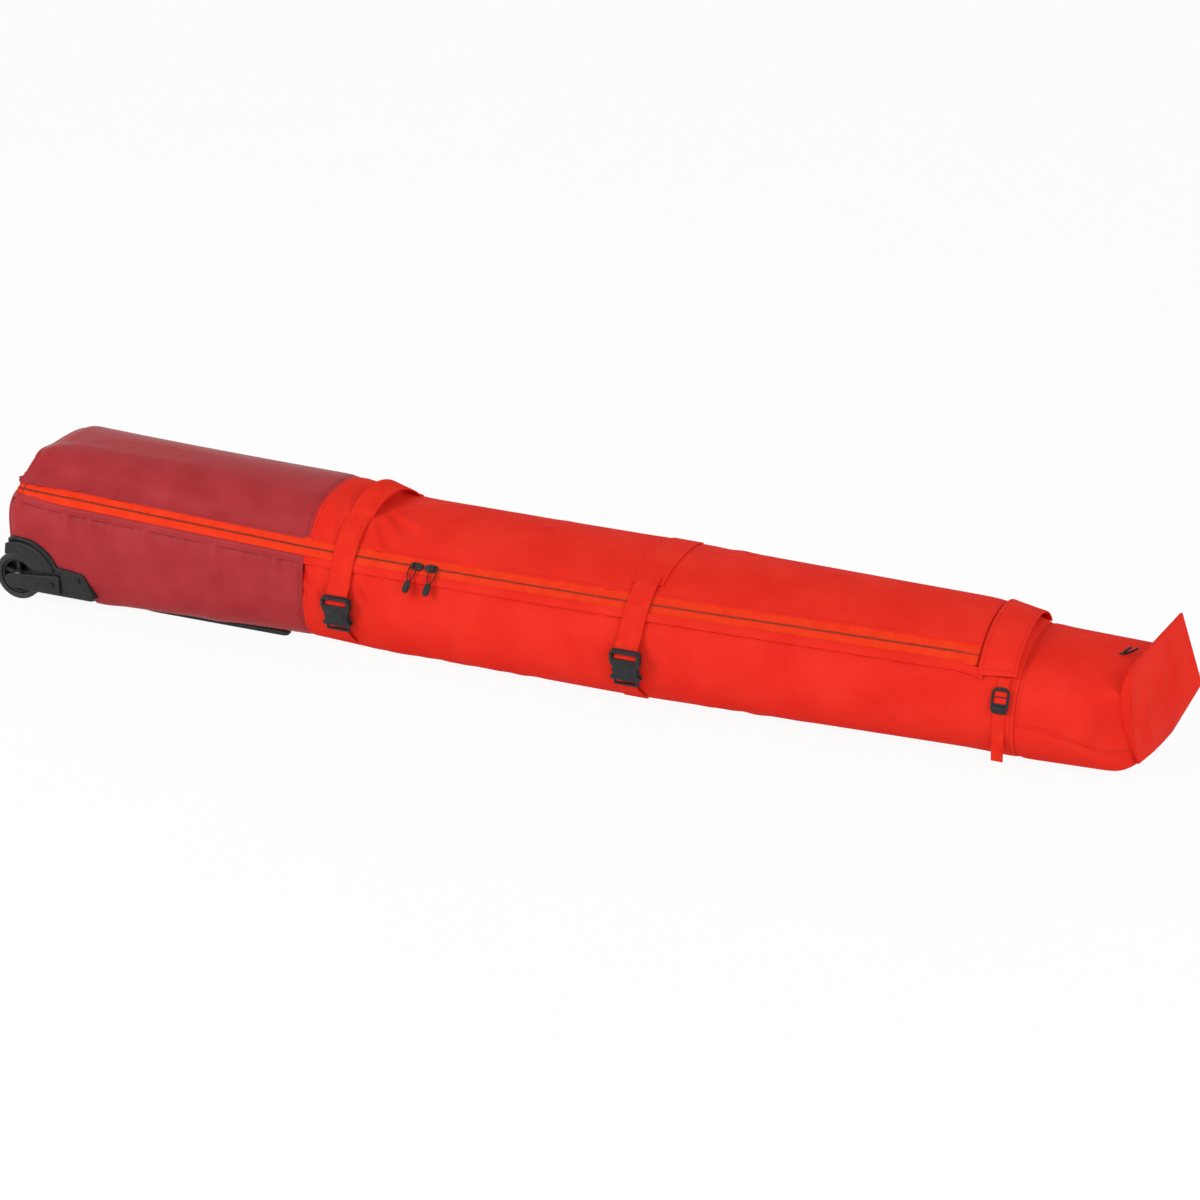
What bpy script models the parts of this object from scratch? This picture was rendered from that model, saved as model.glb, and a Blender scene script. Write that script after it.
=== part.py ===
"""Wheeled padded ski bag, lying on its back on the floor.

X runs from the wheel end to the tail, Y across the bag with the zip side at -Y, Z up.
All sizes are in metres, and the origin is on the floor under the middle of the bag.
"""

import math
from collections import namedtuple

import bmesh
import bpy
from mathutils import Matrix, Vector

# Lengths of the three sewn sections
REAR_LENGTH = 0.582
FRONT_LENGTH = 1.261
TAIL_LENGTH = 0.194
LID_END_BACK = 0.071
KINK_FROM_WAIST = 0.118
MID_FROM_WAIST = 0.590

# Widths and heights of the stuffed bag at its stations
REAR_WIDTH = 0.341
WAIST_WIDTH = 0.310
KINK_WIDTH = 0.322
MID_WIDTH = 0.364
YOKE_WIDTH = 0.282
TAIL_WIDTH = 0.292
REAR_HEIGHT = 0.262
WAIST_HEIGHT = 0.256
KINK_HEIGHT = 0.231
MID_HEIGHT = 0.222
YOKE_HEIGHT = 0.2194
TAIL_HEIGHT = 0.184
TAIL_END_HEIGHT = 0.178
WIDEST_Z = 0.090
REAR_FLOOR_Z = 0.010
REAR_ROUNDING = 0.016
LID_ROUNDING = 0.008
LID_ROUNDING_RUN = 0.018
LID_SETBACK = 0.0164
CAP_HEIGHT = 0.206
CAP_RISE = 0.010
LID_WALL_CLEAR = 0.001
TAIL_END_WIDTH = 0.284

# How far the zip lies below the top of the lid
CAP_DROP = 0.005
LID_EDGE_DROP = 0.0460
REAR_DROP = 0.0535
WAIST_DROP = 0.0710
KINK_DROP = 0.0490
MID_DROP = 0.0357
YOKE_DROP = 0.0361

# Squareness of the crown and width of the bottom corners
CAP_CROWN = 3.5
REAR_CROWN = 2.6
SOFT_CROWN = 2.25
REAR_CORNER = 0.040
WAIST_CORNER = 0.070
MID_CORNER = 0.110
TAIL_CORNER = 0.090
TAIL_END_CORNER = 0.106

# Cloth, board and seams
CLOTH = 0.005
END_CLOTH = 0.006
SEAM_GAP = 0.0006
FIT_GAP = 0.0004
FLOOR_GAP_U = 0.003
CUT_PAST = 0.002
BITE = 0.0004
FLOOR_SEAM = 0.012
BOARD = 0.002
BOARD_INSET = 0.050
BOARD_SIDE_GAP = 0.007
TAIL_SEAM_Z = 0.072
TAIL_TUCK = 0.050

# Lid hinge on the far side
HINGE_Z = 0.131
HINGE_CLEAR = 0.001

# Zip tape, sliders and pulls
TAPE_TILT = math.radians(45)
TAPE_WIDTH = 0.014
TAPE = 0.0016
TAPE_EDGE_GAP = 0.0010
ZIP_SLIT = 0.003
SLIDER_LENGTH = 0.013
SLIDER_SKIRT = 0.006
SLIDER_PLATE = 0.0018
SLIDER_REAR_FROM_WAIST = 0.206
SLIDER_FRONT_FROM_WAIST = 0.244
BAIL_WIDTH = 0.0032
BAIL_RISE = 0.0050
BAIL_WALL = 0.0014
PULL_CORD = 0.0010
PULL_HALF_WIDTH = 0.0042
PULL_LENGTH = 0.034
TIP_LENGTH = 0.018
TIP_WIDTH = 0.0085
TIP_THICK = 0.0046
TIP_BEVEL = 0.001

# Compression straps, their bands and the grab handle
WEBBING_WIDTH = 0.040
WEBBING = 0.002
STRAP_LIFT = 0.0032
STRAP_1_FROM_WAIST = 0.075
STRAP_2_FROM_WAIST = 0.618
STRAP_1_TOP_DROP = 0.022
STRAP_2_TOP_DROP = 0.010
STRAP_LEAD = 0.016
STRAP_TURN = 0.004
BAND_2_WIDTH = 0.056
BAND_2_DROP = 0.016
HANDLE_RISE = 0.024
HANDLE_LAP = 0.005
TRIM_LIFT = 0.0006
BAND_LIFT = 0.0021
ADJUSTER_LIFT = 0.0014

# Side-release buckles
BUCKLE_1_Z = 0.071
BUCKLE_2_Z = 0.076
BUCKLE_STANDOFF = 0.0045
BUCKLE_WIDTH = 0.054
BUCKLE_LENGTH = 0.052
BUCKLE_THICK = 0.012
BUCKLE_WALL = 0.002
BUCKLE_MOUTH = 0.022
BUCKLE_SLOT = 0.008
BUCKLE_BAR = 0.005
BUCKLE_WAIST = 0.003
BUCKLE_LIP = 0.003
BUCKLE_CHAMFER = 0.006
WAIST_LOW = 0.012
WAIST_HIGH = 0.026
SHOULDER_RUN = 0.008
WEB_CLEAR = 0.001
PLUG_THICK = 0.005
TONGUE_WIDTH = 0.012
ARM_WIDTH = 0.008
ARM_INSET = 0.004
ARM_LENGTH = 0.0195
MALE_LENGTH = 0.013
MALE_BAR = 0.004
MALE_RAIL = 0.002
PLUG_ROOT = -0.001
TONGUE_TAPER = 0.003
ARM_ROOT_INSET = 0.002
ARM_BARB = 0.0025
ARM_BARB_AT = 0.013
ARM_SWELL_AT = 0.008
TAB_FOOT_U = 1.45
TAB_INSET = 0.004

# Wheels and their housings
WHEEL_RADIUS = 0.0449
WHEEL_X = 0.005
WHEEL_IN = 0.027
TYRE_WIDTH = 0.028
TYRE_FLANK = 0.005
TYRE_ROUND = 0.0015
TYRE_SHOULDER = 0.003
TYRE_TREAD_IN = 0.008
TYRE_SEAT_IN = 0.002
HUB_IN = 0.004
BEARING_IN = 0.003
HUB_RADIUS = 0.0335
HUB_RIM = 0.0045
BOSS_RADIUS = 0.0115
SPOKES = 5
SPOKE_RIM_DEG = 9
SPOKE_BOSS_DEG = 22
FIRST_SPOKE_DEG = 90
BEARING_RADIUS = 0.0075
AXLE_RADIUS = 0.004
RUN_GAP = 0.0002
HOUSING_PROUD = 0.0055
HOUSING_DEPTH = 0.049
HOUSING_WALL = 0.005
WELL_GAP = 0.005
ARCH_RIM = 0.029
ARCH_AHEAD = 0.021
ARCH_RAISED = 0.005
PLATE_LENGTH = 0.173
PLATE_SHOULDER = 0.152
PLATE_SHOULDER_Z = 0.076
PLATE_TIP_Z = 0.034
HOUSING_FLOOR_Z = 0.027
HOUSING_LIP = 0.002
ARCH_END_DEG = 24
NOTCH_FLOOR_Z = -0.02
NOTCH_DEPTH = 0.060
ARM_COVER = 0.006
ARM_COVER_WIDTH = 0.026
ARM_COVER_REACH = 0.100
ARM_COVER_HIGH = 0.024
ARM_COVER_LOW = -0.014
ARM_COVER_CORNER = 0.006
AXLE_START_GAP = 0.0005
AXLE_SEAT_SHARE = 0.6
SCREW_RADIUS = 0.0042
SCREW_HEAD = 0.0022
SCREW_IN = 0.010
SCREW_DOWN = 0.012
COVER_SCREW_IN = 0.014

# Skids under the wheel end
SKID_START = 0.230
SKID_LENGTH = 0.300
SKID_WIDTH = 0.022
SKID_IN = 0.0605

# Wide handle band, adjuster and hook at the tail
BAND_START = 0.004
BAND_WIDTH = 0.060
BAND_END_Z = 0.158
BAND_RISE = 0.003
BAND_SAG = 0.011
ADJUSTER_WIDTH = 0.020
ADJUSTER_FROM_TAIL = -0.024
ADJUSTER = 0.0014
ADJUSTER_LOW_U = 1.30
ADJUSTER_TUCK = 0.003
LADDER_WIDTH = 0.029
LADDER_LENGTH = 0.042
LADDER_THICK = 0.004
LADDER_Z = 0.127
LADDER_BAR = 0.006
LADDER_CHAMFER = 0.008
LADDER_WINDOW_CLEAR = 0.0005
HOOK_BACK = 0.060
HOOK_Y = -0.004
HOOK_WIRE = 0.0022
HOOK_SHANK = 0.012
HOOK_REACH = 0.020
HOOK_BEND = 0.006
HOOK_END_DEG = 150

# Folding end panel
FLAP_LEAN = math.radians(4)
FLAP_YAW = math.radians(7)
FLAP_HEIGHT = 0.196
FLAP_NEAR = 0.112
FLAP_FAR = 0.139
FLAP_FOOT = 0.050
FLAP_BULGE = 0.033
FLAP_THICK = 0.005
FLAP_HINGE_Z = 0.008
FLAP_CORNER_UP = 0.37
FLAP_FAR_IN_LOW = 0.044
FLAP_FAR_IN_TOP = 0.013
FLAP_SWELL_ACROSS = 1.5

REAR_X = -(REAR_LENGTH + FRONT_LENGTH + TAIL_LENGTH) / 2
WAIST_X = REAR_X + REAR_LENGTH
KINK_X = WAIST_X + KINK_FROM_WAIST
MID_X = WAIST_X + MID_FROM_WAIST
TAIL_X = WAIST_X + FRONT_LENGTH
LID_END_X = TAIL_X - LID_END_BACK
TAIL_END_X = TAIL_X + TAIL_LENGTH
HINGE_Y = max(REAR_WIDTH, WAIST_WIDTH, KINK_WIDTH, MID_WIDTH) / 2 + HINGE_CLEAR
HOUSING_OUT = REAR_WIDTH / 2 + HOUSING_PROUD
HOUSING_IN = HOUSING_OUT - HOUSING_DEPTH
WHEEL_Y = HOUSING_OUT - WHEEL_IN
SKID_Y = REAR_WIDTH / 2 - SKID_IN
BOARD_HALF_WIDTH = WAIST_WIDTH / 2 - WAIST_CORNER - BOARD_SIDE_GAP
TILT_UP = Vector((0, math.sin(TAPE_TILT), math.cos(TAPE_TILT)))
TILT_OUT = Vector((0, -math.cos(TAPE_TILT), math.sin(TAPE_TILT)))

Station = namedtuple("Station", "x half_width height drop crown corner floor")

STATIONS = [
    Station(REAR_X, REAR_WIDTH / 2 - REAR_ROUNDING, CAP_HEIGHT,
            CAP_DROP, CAP_CROWN, REAR_CORNER, REAR_FLOOR_Z),
    Station(REAR_X + LID_SETBACK / 2, REAR_WIDTH / 2 - REAR_ROUNDING / 3,
            CAP_HEIGHT + CAP_RISE * 0.65, CAP_DROP * 1.4, CAP_CROWN, REAR_CORNER, REAR_FLOOR_Z),
    Station(REAR_X + LID_SETBACK, REAR_WIDTH / 2 - REAR_ROUNDING / 8,
            CAP_HEIGHT + CAP_RISE, CAP_DROP * 1.8, CAP_CROWN, REAR_CORNER, REAR_FLOOR_Z),
    Station(REAR_X + LID_SETBACK + SEAM_GAP, REAR_WIDTH / 2 - REAR_ROUNDING / 8,
            REAR_HEIGHT - LID_ROUNDING, LID_EDGE_DROP, REAR_CROWN, REAR_CORNER, REAR_FLOOR_Z),
    Station(REAR_X + LID_SETBACK + LID_ROUNDING_RUN, REAR_WIDTH / 2, REAR_HEIGHT,
            REAR_DROP, REAR_CROWN, REAR_CORNER, REAR_FLOOR_Z),
    Station(WAIST_X, WAIST_WIDTH / 2, WAIST_HEIGHT,
            WAIST_DROP, SOFT_CROWN, WAIST_CORNER, REAR_FLOOR_Z),
    Station(KINK_X, KINK_WIDTH / 2, KINK_HEIGHT, KINK_DROP, SOFT_CROWN, WAIST_CORNER, 0),
    Station(MID_X, MID_WIDTH / 2, MID_HEIGHT, MID_DROP, SOFT_CROWN, MID_CORNER, 0),
    Station(LID_END_X, YOKE_WIDTH / 2, YOKE_HEIGHT, YOKE_DROP, SOFT_CROWN, TAIL_CORNER, 0),
    Station(TAIL_X, TAIL_WIDTH / 2, TAIL_HEIGHT, YOKE_DROP, SOFT_CROWN, TAIL_CORNER, 0),
    Station(TAIL_END_X, TAIL_END_WIDTH / 2, TAIL_END_HEIGHT,
            YOKE_DROP, SOFT_CROWN, TAIL_END_CORNER, 0),
]


def clear_scene():
    for old in list(bpy.data.objects):
        bpy.data.objects.remove(old, do_unlink=True)


def new_collection(name):
    collection = bpy.data.collections.new(name)
    bpy.context.scene.collection.children.link(collection)
    return collection


clear_scene()
PARTS = new_collection("ski_bag")
CUTTERS = new_collection("cutters")


def finish(name, colour, roughness, metallic=0.0):
    """A plain material named for its cloth, plastic or metal."""
    material = bpy.data.materials.new(name)
    material.use_nodes = True
    shader = material.node_tree.nodes["Principled BSDF"]
    shader.inputs["Base Color"].default_value = (*colour, 1)
    shader.inputs["Roughness"].default_value = roughness
    shader.inputs["Metallic"].default_value = metallic
    return material


TARPAULIN = finish("dark_red_tarpaulin", (0.40, 0.045, 0.05), 0.45)
NYLON = finish("bright_red_nylon", (0.79, 0.035, 0.02), 0.70)
TAPE_RED = finish("orange_red_zip_tape", (0.85, 0.08, 0.02), 0.75)
WEB_RED = finish("red_webbing", (0.80, 0.045, 0.025), 0.75)
PLASTIC = finish("black_moulded_plastic", (0.035, 0.034, 0.037), 0.45)
TYRE = finish("black_tyre", (0.02, 0.02, 0.02), 0.60)
STEEL = finish("bright_steel", (0.60, 0.60, 0.60), 0.30, 1.0)
BOARD_GREY = finish("stiffener_board", (0.20, 0.20, 0.20), 0.60)


def place(obj, name, material, collection=None):
    """Give an object its node name, material and collection."""
    obj.name = name
    obj.data.name = name
    obj.data.materials.clear()
    obj.data.materials.append(material)
    for owner in list(obj.users_collection):
        owner.objects.unlink(obj)
    (collection or PARTS).objects.link(obj)
    return obj


def hide_cutter(obj):
    obj.hide_render = True
    obj.display_type = "WIRE"
    for owner in list(obj.users_collection):
        owner.objects.unlink(obj)
    CUTTERS.objects.link(obj)
    return obj


def boolean(target, tool, operation):
    """Cut a tool out of a target, or join it on; the tool is kept as a wire guide."""
    modifier = target.modifiers.new(operation.lower(), "BOOLEAN")
    modifier.operation = operation
    modifier.solver = "EXACT"
    modifier.object = hide_cutter(tool)
    return target


def mesh_object(name, mesh_builder, material):
    builder = bmesh.new()
    mesh_builder(builder)
    bmesh.ops.recalc_face_normals(builder, faces=builder.faces)
    mesh = bpy.data.meshes.new(name)
    builder.to_mesh(mesh)
    builder.free()
    mesh.shade_smooth()
    mesh.set_sharp_from_angle(angle=math.radians(35))
    return place(bpy.data.objects.new(name, mesh), name, material)


def shell(name, outer, inner, material):
    """A closed skin between two lofted grids of points, row by row along the bag."""
    rows = len(outer)
    steps = len(outer[0])

    def build(builder):
        out = [[builder.verts.new(point) for point in row] for row in outer]
        into = [[builder.verts.new(point) for point in row] for row in inner]
        for grid in (out, into):
            for i in range(rows - 1):
                for j in range(steps - 1):
                    builder.faces.new((grid[i][j], grid[i + 1][j],
                                       grid[i + 1][j + 1], grid[i][j + 1]))
        for i in range(rows - 1):
            for j in (0, steps - 1):
                builder.faces.new((out[i][j], out[i + 1][j], into[i + 1][j], into[i][j]))
        for j in range(steps - 1):
            for i in (0, rows - 1):
                builder.faces.new((out[i][j], out[i][j + 1], into[i][j + 1], into[i][j]))

    return mesh_object(name, build, material)


def outline_solid(name, loops, thickness, matrix, material):
    """A flat outline, with holes where loops lie inside each other, given a thickness."""
    curve = bpy.data.curves.new(name, "CURVE")
    curve.dimensions = "2D"
    curve.fill_mode = "BOTH"
    curve.extrude = thickness / 2
    for loop in loops:
        spline = curve.splines.new("POLY")
        spline.points.add(len(loop) - 1)
        spline.use_cyclic_u = True
        for point, (u, v) in zip(spline.points, loop):
            point.co = (u, v, 0, 1)
    guide = bpy.data.objects.new(name, curve)
    PARTS.objects.link(guide)
    bpy.context.view_layer.update()
    depsgraph = bpy.context.evaluated_depsgraph_get()
    mesh = bpy.data.meshes.new_from_object(guide.evaluated_get(depsgraph))
    bpy.data.objects.remove(guide, do_unlink=True)
    builder = bmesh.new()
    builder.from_mesh(mesh)
    bmesh.ops.remove_doubles(builder, verts=builder.verts, dist=0.00001)
    bmesh.ops.transform(builder, matrix=matrix, verts=builder.verts)
    bmesh.ops.recalc_face_normals(builder, faces=builder.faces)
    builder.to_mesh(mesh)
    builder.free()
    mesh.shade_smooth()
    mesh.set_sharp_from_angle(angle=math.radians(35))
    return place(bpy.data.objects.new(name, mesh), name, material)


def block(name, low, high, matrix, material, bevel=0.0):
    """A box between two corners of a local frame, with its edges eased."""
    size = Vector(high) - Vector(low)
    centre = (Vector(high) + Vector(low)) / 2

    def build(builder):
        bmesh.ops.create_cube(builder, size=1)
        bmesh.ops.scale(builder, vec=size, verts=builder.verts)
        bmesh.ops.translate(builder, vec=centre, verts=builder.verts)
        bmesh.ops.transform(builder, matrix=matrix, verts=builder.verts)

    obj = mesh_object(name, build, material)
    if bevel:
        ease = obj.modifiers.new("eased_edges", "BEVEL")
        ease.width = bevel
        ease.segments = 2
        ease.limit_method = "ANGLE"
    return obj


def rod(name, radius, start, end, material, sides=20):
    """A round bar from start to end."""
    axis = Vector(end) - Vector(start)
    turn = axis.to_track_quat("Z", "Y").to_matrix().to_4x4()
    where = Matrix.Translation((Vector(start) + Vector(end)) / 2)

    def build(builder):
        bmesh.ops.create_cone(builder, cap_ends=True, segments=sides, radius1=radius,
                              radius2=radius, depth=axis.length, matrix=where @ turn)

    return mesh_object(name, build, material)


def turned(name, profile, centre, steps, material):
    """A ring turned about the cross axis of the bag, from a closed profile of radius and depth."""
    mesh = bpy.data.meshes.new(name)
    count = len(profile)
    mesh.from_pydata([(radius, 0, depth) for radius, depth in profile],
                     [(i, (i + 1) % count) for i in range(count)], [])
    obj = place(bpy.data.objects.new(name, mesh), name, material)
    obj.location = centre
    obj.rotation_euler = (math.pi / 2, 0, 0)
    spin = obj.modifiers.new("turned", "SCREW")
    spin.angle = 2 * math.pi
    spin.steps = steps
    spin.render_steps = steps
    spin.use_merge_vertices = True
    spin.merge_threshold = 0.00001
    spin.use_smooth_shade = True
    return obj


def circle(radius, count, centre=(0, 0)):
    return [(centre[0] + radius * math.cos(2 * math.pi * k / count),
             centre[1] + radius * math.sin(2 * math.pi * k / count)) for k in range(count)]


def arc(centre, radius, start, end, count):
    """Points on an arc between two angles in degrees."""
    angles = [math.radians(start + (end - start) * k / (count - 1)) for k in range(count)]
    return [(centre[0] + radius * math.cos(a), centre[1] + radius * math.sin(a)) for a in angles]


def section_at(x):
    """The bag's section between its two nearest stations."""
    for a, b in zip(STATIONS, STATIONS[1:]):
        if x <= b.x:
            break
    share = min(max((x - a.x) / (b.x - a.x), 0), 1)
    return Station(*(p + (q - p) * share for p, q in zip(a, b)))


def half_outline(x, u):
    """Near half of the outside: floor middle at 0, corner at 1, widest at 2, crown at 3."""
    s = section_at(x)
    if u <= 1:
        return Vector((x, -(s.half_width - s.corner) * u, s.floor))
    if u <= 2:
        turn = (u - 1) * math.pi / 2
        y = s.half_width - s.corner + s.corner * math.sin(turn)
        return Vector((x, -y, WIDEST_Z - (WIDEST_Z - s.floor) * math.cos(turn)))
    turn = min(u - 2, 1) * math.pi / 2
    across, up = max(math.cos(turn), 0), math.sin(turn)
    reach = (across ** s.crown + up ** s.crown) ** (-1 / s.crown)
    return Vector((x, -s.half_width * reach * across,
                   WIDEST_Z + (s.height - WIDEST_Z) * reach * up))


def skin(x, u, lift=0.0):
    """A point on the bag's outside, lifted along its normal.

    u goes round from the floor's middle up the near side (1 to 3) and down the far one (3 to 6).
    """
    def on_loop(v):
        v = v % 6
        if v <= 3:
            return half_outline(x, v)
        mirrored = half_outline(x, 6 - v)
        return Vector((x, -mirrored.y, mirrored.z))

    point = on_loop(u)
    if lift:
        along = on_loop(u + 0.004) - on_loop(u - 0.004)
        point = point + Vector((0, -along.z, along.y)).normalized() * lift
    return point


def crown_u(x, z):
    """Where the near crown passes a height."""
    s = section_at(x)
    share = (z - WIDEST_Z) / (s.height - WIDEST_Z)
    return 2 + math.atan((share ** -s.crown - 1) ** (-1 / s.crown)) * 2 / math.pi


def step_u(x, u, distance):
    """u moved by a distance along the outside."""
    speed = (skin(x, u + 0.01) - skin(x, u - 0.01)).length / 0.02
    return u + distance / speed


def zip_u(x):
    s = section_at(x)
    return crown_u(x, s.height - s.drop)


def zip_point(x):
    return skin(x, zip_u(x))


def zip_path(x):
    """The zip's own line, straight from station to station."""
    for a, b in zip(STATIONS, STATIONS[1:]):
        if x <= b.x:
            break
    share = (x - a.x) / (b.x - a.x)
    return zip_point(a.x).lerp(zip_point(b.x), share)


def tape_low_u(x):
    return step_u(x, zip_u(x), -(TAPE_WIDTH + TAPE_EDGE_GAP))


def tape_high_u(x):
    return step_u(x, zip_u(x), ZIP_SLIT + TAPE_WIDTH + TAPE_EDGE_GAP)


def hinge_u(x):
    return 6 - crown_u(x, HINGE_Z)


def floor_u(x):
    s = section_at(x)
    return 1 - FLOOR_SEAM / (s.half_width - s.corner)


def rows_between(start, end):
    """Stations along the bag between two ends, both ends included."""
    inner = [s.x for s in STATIONS if start + 0.002 < s.x < end - 0.002]
    return [start] + inner + [end]


def strip(xs, low, high, steps, lift):
    """Rows of points over the outside between two u limits, each a value or a function of x."""
    rows = []
    for x in xs:
        a = low(x) if callable(low) else low
        b = high(x) if callable(high) else high
        rows.append([skin(x, a + (b - a) * k / steps, lift) for k in range(steps + 1)])
    return rows


def panel(name, start, end, low, high, steps, material, thickness=CLOTH, lift=0.0):
    """A sewn cloth panel that follows the stuffed outside of the bag."""
    xs = rows_between(start, end)
    return shell(name, strip(xs, low, high, steps, lift),
                 strip(xs, low, high, steps, lift - thickness), material)


def gap_u(limit, distance):
    """A panel's limit drawn back by a seam gap."""
    return lambda x: step_u(x, limit(x), distance)


def base_panels():
    """The open tray: floors, near sides up to the zip and far sides up to the hinge."""
    half_gap = SEAM_GAP / 2
    ends = (("rear", REAR_X, WAIST_X - half_gap, TARPAULIN),
            ("front", WAIST_X + half_gap, TAIL_X - half_gap, NYLON))
    made = {}
    for label, start, end, cloth in ends:
        made[label + "_floor"] = panel(
            label + "_floor", start, end, lambda x: 6 - floor_u(x) + FLOOR_GAP_U,
            lambda x: 6 + floor_u(x) - FLOOR_GAP_U, 4, cloth)
        made[label + "_side_near"] = panel(
            label + "_side_near", start, end, lambda x: floor_u(x) + FLOOR_GAP_U,
            tape_low_u, 12, cloth)
        made[label + "_side_far"] = panel(
            label + "_side_far", start, end, gap_u(hinge_u, SEAM_GAP),
            lambda x: 6 - floor_u(x) - FLOOR_GAP_U, 8, cloth)
    return made


def end_wall(name, x, low_z, material):
    """A flat wall across the wheel end, from a height up to the crown of the section there."""
    around = [skin(x, 1 + 4 * k / 48) for k in range(49)]
    loop = []
    for a, b in zip(around, around[1:] + around[:1]):
        if a.z >= low_z:
            loop.append((a.y, a.z))
        if (a.z - low_z) * (b.z - low_z) < 0:
            share = (low_z - a.z) / (b.z - a.z)
            loop.append((a.y + (b.y - a.y) * share, low_z))
    middle = x - FIT_GAP - END_CLOTH / 2
    stand = Matrix(((0, 0, 1, middle), (1, 0, 0, 0), (0, 1, 0, 0), (0, 0, 0, 1)))
    return outline_solid(name, [loop], END_CLOTH, stand, material)


def flap_plane_x(y, z):
    """The leaning and turned plane that closes the tail."""
    return TAIL_END_X + y * math.tan(FLAP_YAW) - z * math.tan(FLAP_LEAN)


def flap_near_edge(z):
    """How far the end panel's near edge stands from the middle, at a height."""
    return FLAP_NEAR - FLAP_FOOT * (1 - min(z / FLAP_HEIGHT, 1)) ** 2


def tail_panel(name, low, high, steps):
    """A half of the tail sleeve; its end lies in the end panel's plane and tucks in to its edge."""
    start = TAIL_X + SEAM_GAP / 2
    grids = []
    for lift in (0.0, -CLOTH):
        rows = strip([start, TAIL_END_X - TAIL_TUCK, TAIL_END_X], low, high, steps, lift)
        last = []
        for p in rows[2]:
            y = max(p.y, -flap_near_edge(p.z) - lift)
            last.append(Vector((flap_plane_x(y, p.z), y, p.z)))
        grids.append(rows[:2] + [last])
    return shell(name, grids[0], grids[1], NYLON)


def tail_seam_u(x):
    s = section_at(x)
    share = (WIDEST_Z - TAIL_SEAM_Z) / (WIDEST_Z - s.floor)
    return 1 + math.acos(share) * 2 / math.pi


def tail():
    tail_panel("tail_upper", gap_u(tail_seam_u, SEAM_GAP / 2),
               lambda x: 6 - gap_u(tail_seam_u, SEAM_GAP / 2)(x), 16)
    tail_panel("tail_lower", lambda x: 6 - gap_u(tail_seam_u, -SEAM_GAP / 2)(x),
               lambda x: 6 + gap_u(tail_seam_u, -SEAM_GAP / 2)(x), 14)


def yoke():
    """The fixed top between the lid's end and the tail sleeve, under the wide band."""
    half_gap = SEAM_GAP / 2
    panel("yoke", LID_END_X + half_gap, TAIL_X - half_gap, gap_u(tape_low_u, SEAM_GAP),
          gap_u(hinge_u, 0), 14, NYLON)


def lid():
    """The lid's two panels, hinged on the far side, and its wall at the wheel end."""
    half_gap = SEAM_GAP / 2
    lid_x = REAR_X + LID_SETBACK + SEAM_GAP
    panel("lid_rear", lid_x, WAIST_X - half_gap, tape_high_u, hinge_u, 14, TARPAULIN)
    panel("lid_front", WAIST_X + half_gap, LID_END_X - half_gap, tape_high_u, hinge_u, 14, NYLON)
    end_wall("lid_end_wall", lid_x, CAP_HEIGHT + CAP_RISE + LID_WALL_CLEAR, TARPAULIN)


def rear_end():
    """The wall at the wheel end and the cap that joins it to the zip's rear run."""
    panel("rear_cap", REAR_X, REAR_X + LID_SETBACK, gap_u(tape_low_u, SEAM_GAP),
          gap_u(hinge_u, 0), 16, TARPAULIN)
    return end_wall("rear_end_wall", REAR_X, 0, TARPAULIN)


def tapes():
    """The zip's two sides: a flat tape at a fixed tilt for the sliders, and one on the lid."""
    start, end = REAR_X + LID_SETBACK + SEAM_GAP, LID_END_X - SEAM_GAP
    xs = rows_between(start, end)
    grids = []
    for depth in (0, -TAPE):
        grids.append([[zip_path(x) + TILT_UP * reach + TILT_OUT * depth
                       for reach in (-TAPE_WIDTH, -TAPE_WIDTH / 2, 0)] for x in xs])
    shell("zip_tape_lower", grids[0], grids[1], TAPE_RED)
    panel("zip_tape_upper", start, end, lambda x: step_u(x, zip_u(x), ZIP_SLIT),
          gap_u(tape_high_u, -TAPE_EDGE_GAP), 2, TAPE_RED, TAPE)


def zip_frame(x):
    """Frame on the zip's path: X along the bag, Y up the tape, Z out of the bag."""
    at = zip_path(x)
    along = (zip_point(MID_X) - zip_point(KINK_X)).normalized()
    out = along.cross(TILT_UP).normalized()
    up = out.cross(along)
    frame = Matrix((along, up, out)).transposed().to_4x4()
    frame.translation = at
    return frame


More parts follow.
